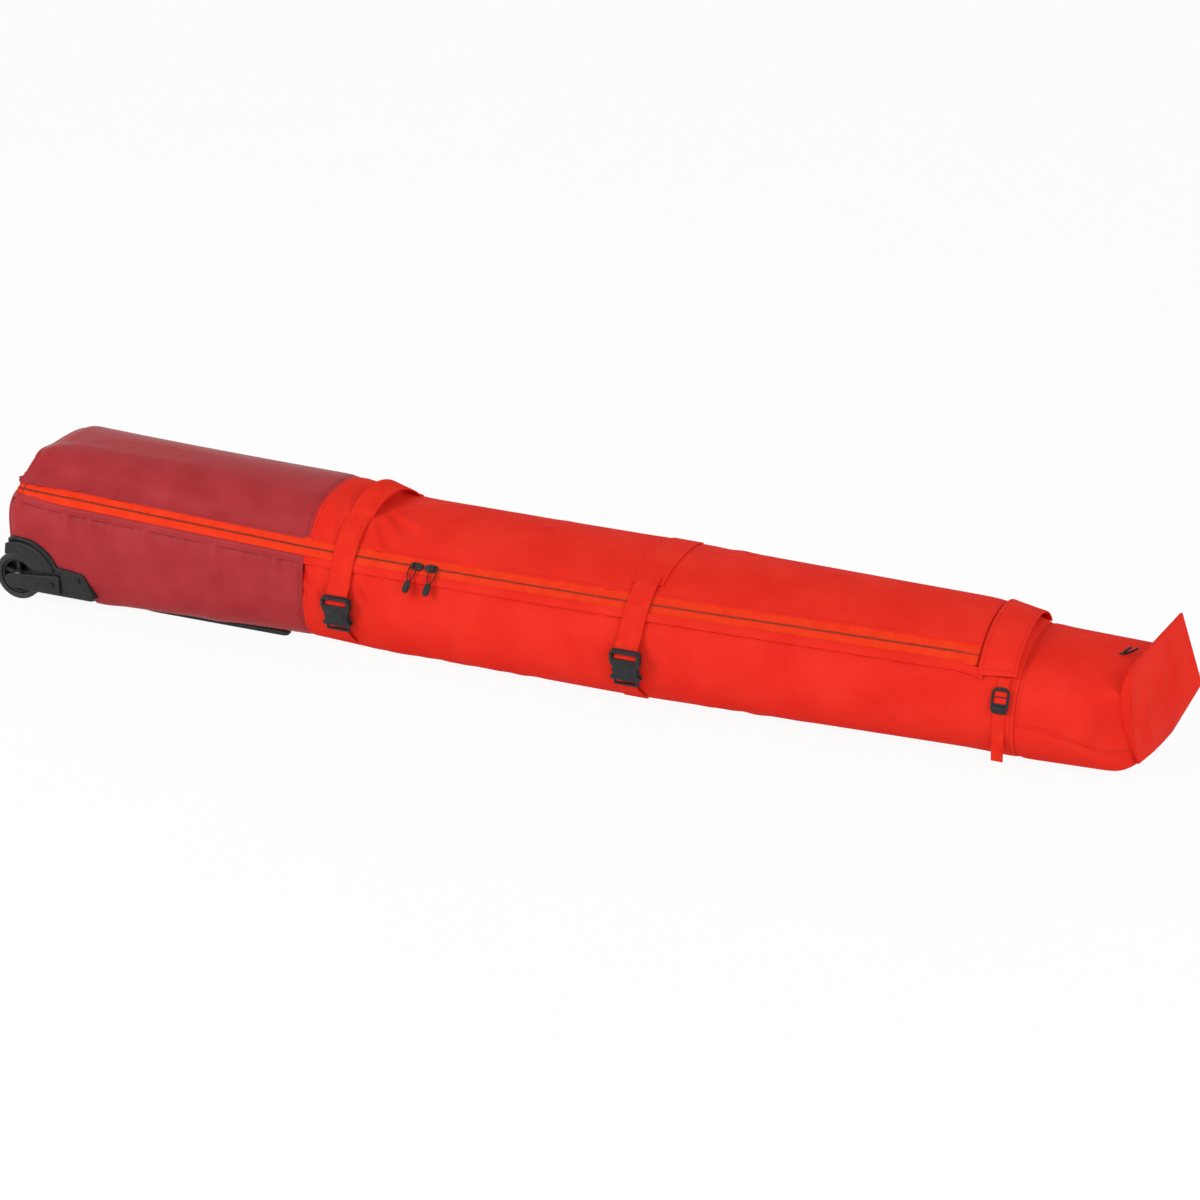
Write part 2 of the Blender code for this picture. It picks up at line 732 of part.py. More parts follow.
def slider(label, from_waist):
    """A slider that hooks over the edge of the lower tape, and its pull through the bail."""
    frame = zip_frame(WAIST_X + from_waist)
    half = SLIDER_LENGTH / 2
    top = FIT_GAP + SLIDER_PLATE
    inside = -TAPE - FIT_GAP
    body = block("slider_" + label, (-half, -SLIDER_SKIRT, inside - SLIDER_PLATE),
                 (half, top, top), frame, PLASTIC)
    channel = block("channel_" + label, (-half - CUT_PAST, -SLIDER_SKIRT - CUT_PAST, inside),
                    (half + CUT_PAST, FIT_GAP, FIT_GAP), frame, PLASTIC)
    bail = block("bail_" + label, (-BAIL_WIDTH / 2, -SLIDER_SKIRT + BITE, top - BITE),
                 (BAIL_WIDTH / 2, top - BITE, top + BAIL_RISE), frame, PLASTIC)
    eye_low = -SLIDER_SKIRT + BITE + BAIL_WALL
    eye_high = top - BITE - BAIL_WALL
    eye_top = top + BAIL_RISE - BAIL_WALL
    eye = block("eye_" + label, (-BAIL_WIDTH, eye_low, top + FIT_GAP),
                (BAIL_WIDTH, eye_high, eye_top), frame, PLASTIC)
    boolean(body, channel, "DIFFERENCE")
    boolean(body, bail, "UNION")
    boolean(body, eye, "DIFFERENCE")

    pivot = Vector((0, (eye_low + eye_high) / 2, (top + FIT_GAP + eye_top) / 2))
    pull_frame = frame @ Matrix.Translation(pivot)
    half_turn = [(PULL_HALF_WIDTH * math.cos(a), -PULL_LENGTH + PULL_HALF_WIDTH
                  - PULL_HALF_WIDTH * math.sin(a))
                 for a in (math.pi * k / 6 for k in range(7))]
    path = [(-PULL_HALF_WIDTH, 0), (PULL_HALF_WIDTH, 0)] + half_turn
    curve = bpy.data.curves.new("pull_" + label, "CURVE")
    curve.dimensions = "3D"
    curve.bevel_depth = PULL_CORD
    curve.bevel_resolution = 2
    spline = curve.splines.new("POLY")
    spline.points.add(len(path) - 1)
    spline.use_cyclic_u = True
    for point, (u, v) in zip(spline.points, path):
        point.co = (*(pull_frame @ Vector((u, v, 0))), 1)
    guide = bpy.data.objects.new("pull_" + label, curve)
    PARTS.objects.link(guide)
    bpy.context.view_layer.update()
    mesh = bpy.data.meshes.new_from_object(
        guide.evaluated_get(bpy.context.evaluated_depsgraph_get()))
    bpy.data.objects.remove(guide, do_unlink=True)
    cord = place(bpy.data.objects.new("pull_" + label, mesh), "pull_" + label, PLASTIC)
    tip_low = -PULL_LENGTH - TIP_LENGTH / 2
    tip = block("tip_" + label, (-TIP_WIDTH / 2, tip_low, -TIP_THICK / 2),
                (TIP_WIDTH / 2, tip_low + TIP_LENGTH, TIP_THICK / 2), pull_frame, PLASTIC, TIP_BEVEL)
    boolean(cord, tip, "UNION")
    return pull_frame.translation


def buckle_frame(x, mouth_z):
    """Frame at a buckle's mouth: X along the bag, Y up its axis, Z out of the bag.

    The axis is square to the line from the lid's hinge, so the halves part along it.
    """
    s = section_at(x)
    middle_z = mouth_z + BUCKLE_MOUTH / 2
    y = -(s.half_width + BUCKLE_STANDOFF)
    lean = math.atan2(HINGE_Z - middle_z, HINGE_Y - y)
    up = Vector((0, -math.sin(lean), math.cos(lean)))
    out = Vector((1, 0, 0)).cross(up)
    frame = Matrix((Vector((1, 0, 0)), up, out)).transposed().to_4x4()
    frame.translation = Vector((x, y, mouth_z))
    return frame


def female_buckle(label, frame):
    """The half on the strap: a slotted frame above and two plates that take the plug."""
    half = BUCKLE_WIDTH / 2
    waist = half - BUCKLE_WAIST
    right = [(half - BUCKLE_LIP, 0), (half, -BUCKLE_LIP), (half, BUCKLE_LIP), (waist, WAIST_LOW),
             (waist, WAIST_HIGH), (half, WAIST_HIGH + SHOULDER_RUN),
             (half, BUCKLE_LENGTH - BUCKLE_CHAMFER), (half - BUCKLE_CHAMFER, BUCKLE_LENGTH)]
    shape = right + [(-u, v) for u, v in reversed(right)]
    slot_top = BUCKLE_LENGTH - BUCKLE_BAR
    reach = WEBBING_WIDTH / 2 + WEB_CLEAR
    slot = [(-reach, slot_top - BUCKLE_SLOT), (reach, slot_top - BUCKLE_SLOT),
            (reach, slot_top), (-reach, slot_top)]
    lift = frame @ Matrix.Translation((0, 0, BUCKLE_THICK / 2))
    body = outline_solid("buckle_female_" + label, [shape, slot], BUCKLE_THICK, lift, PLASTIC)
    mouth = block("mouth_" + label, (-BUCKLE_WIDTH, -BUCKLE_MOUTH, BUCKLE_WALL),
                  (BUCKLE_WIDTH, BUCKLE_MOUTH, BUCKLE_THICK - BUCKLE_WALL), frame, PLASTIC)
    return boolean(body, mouth, "DIFFERENCE")


def male_buckle(label, frame):
    """The half on the bag: a bar for its tab, a tongue, and two sprung release arms."""
    mid = frame @ Matrix.Translation((0, 0, BUCKLE_THICK / 2))
    half = WEBBING_WIDTH / 2 + MALE_RAIL
    tongue = TONGUE_WIDTH / 2
    foot = PLUG_ROOT - MALE_LENGTH
    right = [(half, foot), (half, PLUG_ROOT), (tongue, PLUG_ROOT),
             (tongue, ARM_LENGTH - TONGUE_TAPER), (tongue - TONGUE_TAPER, ARM_LENGTH)]
    shape = right + [(-u, v) for u, v in reversed(right)]
    inner = half - MALE_BAR
    hole = [(-inner, foot + MALE_BAR), (inner, foot + MALE_BAR),
            (inner, PLUG_ROOT - MALE_BAR), (-inner, PLUG_ROOT - MALE_BAR)]
    outline_solid("buckle_male_" + label, [shape, hole], PLUG_THICK, mid, PLASTIC)
    for side, sign in (("rear", -1), ("front", 1)):
        near = BUCKLE_WIDTH / 2 - ARM_WIDTH - ARM_INSET
        far = near + ARM_WIDTH
        root = PLUG_ROOT + FIT_GAP
        arm = [(near + ARM_ROOT_INSET, root), (far - ARM_ROOT_INSET, root), (far, ARM_SWELL_AT),
               (far + ARM_BARB, ARM_BARB_AT), (far, ARM_LENGTH - TONGUE_TAPER / 2),
               (far - TONGUE_TAPER, ARM_LENGTH), (near + TONGUE_TAPER, ARM_LENGTH),
               (near, ARM_SWELL_AT)]
        loop = [(u * sign, v) for u, v in arm]
        outline_solid("buckle_arm_%s_%s" % (label, side), [loop], PLUG_THICK, mid, PLASTIC)


def web_in_frame(name, frame, path, half_width, thickness, material):
    """A flat webbing through points of a local frame, given its width and thickness."""
    grids = ([], [])
    points = [Vector(p) for p in path]
    for x in (-half_width, half_width):
        rows = ([], [])
        for i, point in enumerate(points):
            ahead = points[min(i + 1, len(points) - 1)]
            behind = points[max(i - 1, 0)]
            along = (ahead - behind).normalized()
            out = Vector((-along.y, along.x)) * thickness / 2
            for row, sign in zip(rows, (1, -1)):
                local = point + out * sign
                row.append(frame @ Vector((x, local.x, local.y)))
        for grid, row in zip(grids, rows):
            grid.append(row)
    return shell(name, grids[0], grids[1], material)


def tab(label, frame):
    """The sewn tab that holds the male half to the bag's side."""
    middle = BUCKLE_THICK / 2
    top = PLUG_ROOT - MALE_LENGTH - FIT_GAP
    x = frame.translation.x
    foot = frame.inverted() @ skin(x, TAB_FOOT_U, WEBBING / 2 + 2 * FIT_GAP)
    path = [(top, middle), ((top + foot.y) / 2, middle * 0.8 + foot.z * 0.2), (foot.y, foot.z)]
    return web_in_frame("buckle_tab_" + label, frame, path, WEBBING_WIDTH / 2 - TAB_INSET,
                        WEBBING, WEB_RED)


def strap(label, frame, x, top_drop):
    """Strap from the female half's slot up the near side and over the zip to the lid."""
    bar_mid = BUCKLE_LENGTH - BUCKLE_BAR - BUCKLE_SLOT / 2
    behind = -WEBBING / 2 - FIT_GAP
    low_z = (frame @ Vector((0, BUCKLE_LENGTH + STRAP_LEAD, 0))).z
    grids = ([], [])
    for edge in (x - WEBBING_WIDTH / 2, x + WEBBING_WIDTH / 2):
        top_u = crown_u(edge, section_at(edge).height - top_drop)
        low_u = crown_u(edge, low_z)
        hook = [Vector((0, bar_mid, BUCKLE_THICK * 0.6)), Vector((0, bar_mid, behind)),
                Vector((0, BUCKLE_LENGTH + STRAP_TURN, behind))]
        path = []
        for point in hook:
            at = frame @ point
            path.append(Vector((edge, at.y, at.z)))
        steps = 9
        path += [skin(edge, low_u + (top_u - low_u) * k / steps, STRAP_LIFT + WEBBING / 2)
                 for k in range(steps + 1)]
        rows = ([], [])
        for i, point in enumerate(path):
            ahead = path[min(i + 1, len(path) - 1)]
            back = path[max(i - 1, 0)]
            along = (ahead - back).normalized()
            out = Vector((0, -along.z, along.y)) * WEBBING / 2
            rows[0].append(point + out)
            rows[1].append(point - out)
        for grid, row in zip(grids, rows):
            grid.append(row)
    return shell("strap_" + label, grids[0], grids[1], WEB_RED)


def over_crown(name, start, end, low_z, lift, rises, thickness, steps, material):
    """A band over the top from near to far, sewn down at both ends and raised between them."""
    grids = ([], [])
    for x, rise in zip((start, end), rises):
        low = crown_u(x, low_z)
        rows = ([], [])
        for k in range(steps + 1):
            share = k / steps
            u = low + (6 - 2 * low) * share
            height = lift + rise * math.sin(math.pi * share) ** 0.8
            rows[0].append(skin(x, u, height + thickness))
            rows[1].append(skin(x, u, height))
        for grid, row in zip(grids, rows):
            grid.append(row)
    return shell(name, grids[0], grids[1], material)


def straps_and_buckles():
    sets = (("1", STRAP_1_FROM_WAIST, BUCKLE_1_Z, STRAP_1_TOP_DROP),
            ("2", STRAP_2_FROM_WAIST, BUCKLE_2_Z, STRAP_2_TOP_DROP))
    for label, from_waist, mouth_z, top_drop in sets:
        x = WAIST_X + from_waist
        frame = buckle_frame(x, mouth_z)
        female_buckle(label, frame)
        male_buckle(label, frame)
        tab(label, frame)
        strap(label, frame, x, top_drop)
    half = WEBBING_WIDTH / 2
    grip_x = WAIST_X + STRAP_1_FROM_WAIST
    grip_z = section_at(grip_x).height - STRAP_1_TOP_DROP + HANDLE_LAP
    over_crown("grab_handle", grip_x - half, grip_x + half, grip_z, TRIM_LIFT,
               (HANDLE_RISE, HANDLE_RISE), WEBBING, 16, WEB_RED)
    band_x = WAIST_X + STRAP_2_FROM_WAIST
    band_z = section_at(band_x).height - BAND_2_DROP
    over_crown("lid_band", band_x - BAND_2_WIDTH / 2, band_x + BAND_2_WIDTH / 2, band_z,
               TRIM_LIFT, (0, 0), WEBBING, 14, NYLON)


def wheel_outline(grow=0.0, open_low=False):
    """The housing's side outline about the wheel, in X from the bag's rear and Z."""
    centre = (WHEEL_X + ARCH_AHEAD, WHEEL_RADIUS + ARCH_RAISED)
    rim = WHEEL_RADIUS + WELL_GAP + ARCH_RIM + grow
    left = -END_CLOTH - FIT_GAP - HOUSING_LIP - grow
    floor = NOTCH_FLOOR_Z if open_low else HOUSING_FLOOR_Z
    start = math.degrees(math.acos((left - centre[0]) / rim))
    points = arc(centre, rim, start, ARCH_END_DEG, 9)
    points += [(PLATE_SHOULDER + grow, PLATE_SHOULDER_Z + grow),
               (PLATE_LENGTH + grow, PLATE_TIP_Z + grow), (PLATE_LENGTH + grow, floor),
               (left, floor)]
    return points


def side_frame(sign, y):
    """Frame with local X along the bag, local Y up and local Z across, at one side."""
    return Matrix(((1, 0, 0, REAR_X), (0, 0, -1, sign * y), (0, 1, 0, 0), (0, 0, 0, 1)))


def wheel_set(label, sign, cut_panels):
    """One wheel with its axle, housing, arm cover and screws; sign is the side of the bag."""
    centre = Vector((REAR_X + WHEEL_X, sign * WHEEL_Y, WHEEL_RADIUS))
    depth = HOUSING_DEPTH
    middle = (HOUSING_OUT + HOUSING_IN) / 2
    for panel_object in cut_panels:
        notch = outline_solid("notch_%s_%s" % (panel_object.name, label),
                              [wheel_outline(SEAM_GAP, True)], depth + NOTCH_DEPTH,
                              side_frame(sign, middle + NOTCH_DEPTH / 2 - SEAM_GAP), PLASTIC)
        boolean(panel_object, notch, "DIFFERENCE")

    housing = outline_solid("wheel_housing_" + label, [wheel_outline()], depth,
                            side_frame(sign, middle), PLASTIC)
    out = Vector((0, sign, 0))
    well_from = centre.copy()
    well_from.y = sign * (HOUSING_IN + HOUSING_WALL)
    well = rod("well_" + label, WHEEL_RADIUS + WELL_GAP, well_from, well_from + out * depth,
               PLASTIC, 40)
    boolean(housing, well, "DIFFERENCE")
    bore_from = Vector((centre.x, sign * (HOUSING_IN - CUT_PAST), centre.z))
    bore = rod("axle_bore_" + label, AXLE_RADIUS + RUN_GAP, bore_from, bore_from + out * depth,
               PLASTIC)
    boolean(housing, bore, "DIFFERENCE")

    half = TYRE_WIDTH / 2
    tread = WHEEL_RADIUS
    inner = HUB_RADIUS + FIT_GAP
    flank = [(inner, half - TYRE_SEAT_IN), (tread - TYRE_FLANK, half),
             (tread - TYRE_ROUND, half - TYRE_SHOULDER), (tread, half - TYRE_TREAD_IN)]
    profile = flank + [(radius, -depth) for radius, depth in reversed(flank)]
    turned("tyre_" + label, profile, centre, 40, TYRE)
    window_in, window_out = BOSS_RADIUS, HUB_RADIUS - HUB_RIM
    windows = []
    share = 360 / SPOKES
    for k in range(SPOKES):
        start = FIRST_SPOKE_DEG + share * k
        end = start + share
        windows.append(arc((0, 0), window_out, start + SPOKE_RIM_DEG, end - SPOKE_RIM_DEG, 6)
                       + arc((0, 0), window_in, end - SPOKE_BOSS_DEG, start + SPOKE_BOSS_DEG, 3))
    loops = [circle(HUB_RADIUS, 40), circle(BEARING_RADIUS + FIT_GAP / 2, 20)] + windows
    hub_frame = side_frame(sign, WHEEL_Y)
    hub_frame.translation = centre
    outline_solid("wheel_hub_" + label, loops, TYRE_WIDTH - 2 * HUB_IN, hub_frame, PLASTIC)
    bore_r = AXLE_RADIUS + RUN_GAP
    bearing_half = TYRE_WIDTH / 2 - BEARING_IN
    turned("wheel_bearing_" + label, [(bore_r, bearing_half), (BEARING_RADIUS, bearing_half),
                                      (BEARING_RADIUS, -bearing_half), (bore_r, -bearing_half)],
           centre, 20, STEEL)

    arm_y = HOUSING_OUT + FIT_GAP + ARM_COVER / 2
    axle_start = Vector((centre.x, sign * (HOUSING_IN + AXLE_START_GAP), centre.z))
    axle_end = Vector((centre.x, sign * (HOUSING_OUT + ARM_COVER * AXLE_SEAT_SHARE), centre.z))
    rod("wheel_axle_" + label, AXLE_RADIUS, axle_start, axle_end, STEEL)
    hub_round = arc((0, 0), ARM_COVER_WIDTH / 2, 270, 90, 9)
    square_end = [(ARM_COVER_REACH - ARM_COVER_CORNER, ARM_COVER_HIGH),
                  (ARM_COVER_REACH, ARM_COVER_HIGH - ARM_COVER_CORNER),
                  (ARM_COVER_REACH, ARM_COVER_LOW + ARM_COVER_CORNER),
                  (ARM_COVER_REACH - ARM_COVER_CORNER, ARM_COVER_LOW)]
    cover_frame = side_frame(sign, arm_y)
    cover_frame.translation = Vector((centre.x, sign * arm_y, centre.z))
    cover = outline_solid("axle_cover_" + label, [hub_round + square_end], ARM_COVER,
                          cover_frame, PLASTIC)
    seat_from = Vector((centre.x, sign * (HOUSING_OUT - CUT_PAST), centre.z))
    seat = rod("axle_seat_" + label, AXLE_RADIUS + RUN_GAP, seat_from,
               Vector((centre.x, sign * (HOUSING_OUT + ARM_COVER * AXLE_SEAT_SHARE + RUN_GAP), centre.z)),
               PLASTIC)
    boolean(cover, seat, "DIFFERENCE")
    screw_spots = (("plate", PLATE_SHOULDER - SCREW_IN, PLATE_SHOULDER_Z - SCREW_DOWN, HOUSING_OUT),
                   ("cover", WHEEL_X + ARM_COVER_REACH - COVER_SCREW_IN,
                    WHEEL_RADIUS + (ARM_COVER_HIGH + ARM_COVER_LOW) / 2,
                    HOUSING_OUT + FIT_GAP + ARM_COVER))
    for spot, u, v, face in screw_spots:
        seat_at = Vector((REAR_X + u, sign * (face + FIT_GAP), v))
        rod("screw_%s_%s" % (spot, label), SCREW_RADIUS, seat_at, seat_at + out * SCREW_HEAD,
            STEEL, 12)


def skids():
    """Two moulded runners under the wheel end."""
    thick = REAR_FLOOR_Z - FIT_GAP
    end = SKID_WIDTH / 2
    loop = arc((SKID_START + end, 0), end, 270, 90, 7)
    loop += arc((SKID_START + SKID_LENGTH - end, 0), end, 90, -90, 7)
    for label, sign in (("near", -1), ("far", 1)):
        flat = Matrix.Translation((REAR_X, sign * SKID_Y, thick / 2))
        outline_solid("skid_" + label, [loop], thick, flat, PLASTIC)


def stiffener():
    """The board inside the wheel end that the housings and skids are screwed to."""
    low = Vector((REAR_X + BOARD_INSET, -BOARD_HALF_WIDTH, REAR_FLOOR_Z + CLOTH + FIT_GAP))
    high = Vector((WAIST_X - BOARD_INSET, BOARD_HALF_WIDTH, low.z + BOARD))
    block("floor_board", low, high, Matrix.Identity(4), BOARD_GREY)


def tail_fittings():
    """The wide handle band, the narrow adjuster with its ladder lock, and the tail hook."""
    start = LID_END_X + BAND_START
    end = start + BAND_WIDTH
    fall = section_at(start).height - section_at(end).height - BAND_SAG
    over_crown("handle_band", start, end, BAND_END_Z, BAND_LIFT,
               (BAND_RISE, BAND_RISE + fall), WEBBING, 18, NYLON)

    x = TAIL_X + ADJUSTER_FROM_TAIL
    half = ADJUSTER_WIDTH / 2
    top_u = crown_u(x, BAND_END_Z - ADJUSTER_TUCK)
    xs = [x - half, x + half]
    shell("adjuster_web", strip(xs, ADJUSTER_LOW_U, top_u, 14, ADJUSTER_LIFT + ADJUSTER),
          strip(xs, ADJUSTER_LOW_U, top_u, 14, ADJUSTER_LIFT), WEB_RED)

    mid_u = crown_u(x, LADDER_Z)
    face = skin(x, mid_u, ADJUSTER_LIFT + ADJUSTER + FIT_GAP)
    up = (skin(x, mid_u + 0.05) - skin(x, mid_u - 0.05)).normalized()
    out = Vector((1, 0, 0)).cross(up)
    frame = Matrix((Vector((1, 0, 0)), up, out)).transposed().to_4x4()
    frame.translation = face
    lift = frame @ Matrix.Translation((0, 0, LADDER_THICK / 2))
    w, h = LADDER_WIDTH / 2, LADDER_LENGTH / 2
    c = LADDER_CHAMFER
    right = [(w - c, -h), (w, -h + c), (w, h - c), (w - c, h)]
    body = right + [(-u, v) for u, v in reversed(right)]
    window = ADJUSTER_WIDTH / 2 + LADDER_WINDOW_CLEAR
    holes = []
    for low, high in ((-h + LADDER_BAR, -LADDER_BAR / 2), (LADDER_BAR / 2, h - LADDER_BAR)):
        holes.append([(-window, low), (window, low), (window, high), (-window, high)])
    outline_solid("ladder_lock", [body] + holes, LADDER_THICK, lift, PLASTIC)

    hook_x = TAIL_END_X - HOOK_BACK
    hook_u = 3 + HOOK_Y / (TAIL_WIDTH / 2)
    base = skin(hook_x, hook_u, HOOK_WIRE + FIT_GAP)
    bend = arc((HOOK_REACH, HOOK_BEND), HOOK_BEND, -90, HOOK_END_DEG, 9)
    curve = bpy.data.curves.new("tail_hook", "CURVE")
    curve.dimensions = "3D"
    curve.bevel_depth = HOOK_WIRE
    curve.bevel_resolution = 2
    curve.use_fill_caps = True
    spline = curve.splines.new("POLY")
    route = [(-HOOK_SHANK, 0)] + bend
    spline.points.add(len(route) - 1)
    for point, (u, v) in zip(spline.points, route):
        point.co = (base.x + u, base.y, base.z + v, 1)
    hook = bpy.data.objects.new("tail_hook", curve)
    PARTS.objects.link(hook)
    bpy.context.view_layer.update()
    mesh = bpy.data.meshes.new_from_object(
        hook.evaluated_get(bpy.context.evaluated_depsgraph_get()))
    bpy.data.objects.remove(hook, do_unlink=True)
    builder = bmesh.new()
    builder.from_mesh(mesh)
    bmesh.ops.remove_doubles(builder, verts=builder.verts, dist=0.00001)
    builder.to_mesh(mesh)
    builder.free()
    place(bpy.data.objects.new("tail_hook", mesh), "tail_hook", PLASTIC)


def end_flap():
    """The end panel, which stands against the tail and folds down about its foot.

    Its far edge runs out to a corner part of the way up, where the panel swells the most.
    """
    along = Vector((math.sin(FLAP_YAW), math.cos(FLAP_YAW), 0))
    lean = Vector((flap_plane_x(0, 1) - flap_plane_x(0, 0), 0, 1))
    up = (lean - along * lean.dot(along)).normalized()
    out = along.cross(up)
    foot = Vector((flap_plane_x(0, FLAP_HINGE_Z), 0, FLAP_HINGE_Z)) + out * SEAM_GAP
    frame = Matrix((along, up, out)).transposed().to_4x4()
    frame.translation = foot
    grids = []
    for depth in (FLAP_THICK, 0):
        rows = []
        for i in range(7):
            below = min(i / 2, 1)
            above = max((i - 2) / 4, 0)
            up_share = FLAP_CORNER_UP * below + (1 - FLAP_CORNER_UP) * above
            low = -FLAP_NEAR + FLAP_FOOT * (1 - up_share) ** 2
            high = FLAP_FAR - FLAP_FAR_IN_LOW * (1 - below) - FLAP_FAR_IN_TOP * above
            row = []
            for j in range(9):
                share = j / 8
                swell = FLAP_BULGE * share ** FLAP_SWELL_ACROSS * min(below, 1 - above)
                row.append(frame @ Vector((low + (high - low) * share, FLAP_HEIGHT * up_share,
                                           depth + swell)))
            rows.append(row)
        grids.append(rows)
    shell("tail_flap", grids[0], grids[1], NYLON)
    return foot


def carry(name, location, nodes):
    """An empty on a joint's axis, as the parent of the pieces that move about it."""
    empty = bpy.data.objects.new(name, None)
    empty.location = location
    PARTS.objects.link(empty)
    bpy.context.view_layer.update()
    for node in nodes:
        piece = bpy.data.objects[node]
        piece.parent = empty
        piece.matrix_parent_inverse = empty.matrix_world.inverted()


def joints(pull_pivots, flap_foot):
    """Empties on the axes of the lid, wheels, sliders, pulls, release arms and end panel."""
    carry("lid_hinge", (0, HINGE_Y, HINGE_Z),
          ["lid_rear", "lid_front", "lid_end_wall", "zip_tape_upper", "strap_1", "strap_2",
           "lid_band", "grab_handle", "buckle_female_1", "buckle_female_2"])
    for side, sign in (("near", -1), ("far", 1)):
        carry("wheel_spin_" + side, (REAR_X + WHEEL_X, sign * WHEEL_Y, WHEEL_RADIUS),
              ["tyre_" + side, "wheel_hub_" + side, "wheel_bearing_" + side])
    spots = (("rear", SLIDER_REAR_FROM_WAIST), ("front", SLIDER_FRONT_FROM_WAIST))
    for (label, from_waist), pivot in zip(spots, pull_pivots):
        carry("slider_slide_" + label, zip_path(WAIST_X + from_waist), ["slider_" + label])
        carry("pull_swing_" + label, pivot, ["pull_" + label])
    straps = (("1", STRAP_1_FROM_WAIST, BUCKLE_1_Z), ("2", STRAP_2_FROM_WAIST, BUCKLE_2_Z))
    for label, from_waist, mouth_z in straps:
        frame = buckle_frame(WAIST_X + from_waist, mouth_z)
        reach = BUCKLE_WIDTH / 2 - ARM_INSET - ARM_WIDTH / 2
        for side, sign in (("rear", -1), ("front", 1)):
            carry("arm_flex_%s_%s" % (label, side),
                  frame @ Vector((sign * reach, 0, BUCKLE_THICK / 2)),
                  ["buckle_arm_%s_%s" % (label, side)])
    carry("flap_fold", flap_foot, ["tail_flap"])


def assemble():
    trays = base_panels()
    lid()
    rear_wall = rear_end()
    yoke()
    tail()
    tapes()
    pivots = [slider("rear", SLIDER_REAR_FROM_WAIST), slider("front", SLIDER_FRONT_FROM_WAIST)]
    straps_and_buckles()
    notched = [trays["rear_floor"], rear_wall]
    wheel_set("near", -1, notched + [trays["rear_side_near"]])
    wheel_set("far", 1, notched + [trays["rear_side_far"]])
    skids()
    stiffener()
    tail_fittings()
    joints(pivots, end_flap())


assemble()
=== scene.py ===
"""Looks of a wheeled ski bag that lies on its back: cloth, webbing, zip, buckles and wheels.

Everything is in metres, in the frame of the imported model: X from the wheels to the tail,
-Y to the zip side, Z up from the floor.
"""

import math

import bmesh
import bpy
import numpy as np
from mathutils import Matrix, Vector
from mathutils.bvhtree import BVHTree


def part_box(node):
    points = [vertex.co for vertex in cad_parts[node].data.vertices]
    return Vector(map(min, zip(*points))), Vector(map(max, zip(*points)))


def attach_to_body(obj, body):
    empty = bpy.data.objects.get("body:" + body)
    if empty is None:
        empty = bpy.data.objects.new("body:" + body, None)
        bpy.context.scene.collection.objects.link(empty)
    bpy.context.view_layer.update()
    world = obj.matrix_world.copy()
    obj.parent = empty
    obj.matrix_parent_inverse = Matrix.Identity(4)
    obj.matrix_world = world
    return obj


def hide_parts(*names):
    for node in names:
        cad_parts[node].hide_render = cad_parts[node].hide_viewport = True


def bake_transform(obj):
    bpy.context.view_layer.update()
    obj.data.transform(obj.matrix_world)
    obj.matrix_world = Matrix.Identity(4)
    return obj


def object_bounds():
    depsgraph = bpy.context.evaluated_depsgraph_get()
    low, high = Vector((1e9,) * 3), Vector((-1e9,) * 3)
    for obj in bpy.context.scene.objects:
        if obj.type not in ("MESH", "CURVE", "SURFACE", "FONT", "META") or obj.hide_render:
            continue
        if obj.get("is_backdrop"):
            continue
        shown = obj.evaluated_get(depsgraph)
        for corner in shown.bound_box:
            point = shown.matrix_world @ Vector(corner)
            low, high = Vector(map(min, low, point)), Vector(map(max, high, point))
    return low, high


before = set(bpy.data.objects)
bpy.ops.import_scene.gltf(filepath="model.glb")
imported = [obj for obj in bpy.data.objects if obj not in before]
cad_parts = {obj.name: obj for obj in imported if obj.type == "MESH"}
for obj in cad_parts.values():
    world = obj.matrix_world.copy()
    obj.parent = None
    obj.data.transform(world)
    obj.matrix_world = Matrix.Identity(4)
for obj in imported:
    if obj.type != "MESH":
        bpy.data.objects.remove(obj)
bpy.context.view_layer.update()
scene = bpy.context.scene

# Side walls of the wheel end. Coated tarpaulin, cut as flat panels, padded, and sewn to the
# floor below and to the zip above; the filling rounds it out between the seams.
REAR_X = -1.0185
WAIST_X = -0.4365
KINK_X = -0.3185
MID_X = 0.1535
LID_END_X = 0.7535
TAIL_X = 0.8245
TAIL_END_X = 1.0185
CAP_X = REAR_X + 0.0164
LID_X = REAR_X + 0.0170
WIDEST_Z = 0.090
HINGE_Z = 0.131
FLOOR_SEAM = 0.012
ZIP_SLIT = 0.003
TAPE_TILT = math.radians(45)

# x, half width, height, drop of the zip, squareness of the crown, bottom corner, floor
STATIONS = np.array([
    (REAR_X, 0.1590, 0.2060, 0.0050, 5.50, 0.016, 0.010),
    (REAR_X + 0.0082, 0.1662, 0.2125, 0.0070, 5.50, 0.016, 0.010),
    (CAP_X, 0.1685, 0.2160, 0.0090, 5.50, 0.016, 0.010),
    (LID_X, 0.1685, 0.2540, 0.0460, 2.60, 0.016, 0.010),
    (REAR_X + 0.0344, 0.1705, 0.2620, 0.0535, 2.60, 0.016, 0.010),
    (WAIST_X, 0.1550, 0.2560, 0.0710, 2.25, 0.050, 0.010),
    (KINK_X, 0.1610, 0.2310, 0.0490, 2.25, 0.070, 0.000),
    (MID_X, 0.1820, 0.2220, 0.0357, 2.25, 0.110, 0.000),
    (LID_END_X, 0.1410, 0.2194, 0.0361, 2.25, 0.090, 0.000),
    (TAIL_X, 0.1460, 0.1840, 0.0361, 2.25, 0.090, 0.000),
    (TAIL_END_X, 0.1420, 0.1780, 0.0361, 2.25, 0.106, 0.000),
])
FINE_X = np.arange(REAR_X - 0.05, TAIL_END_X + 0.05, 0.001)


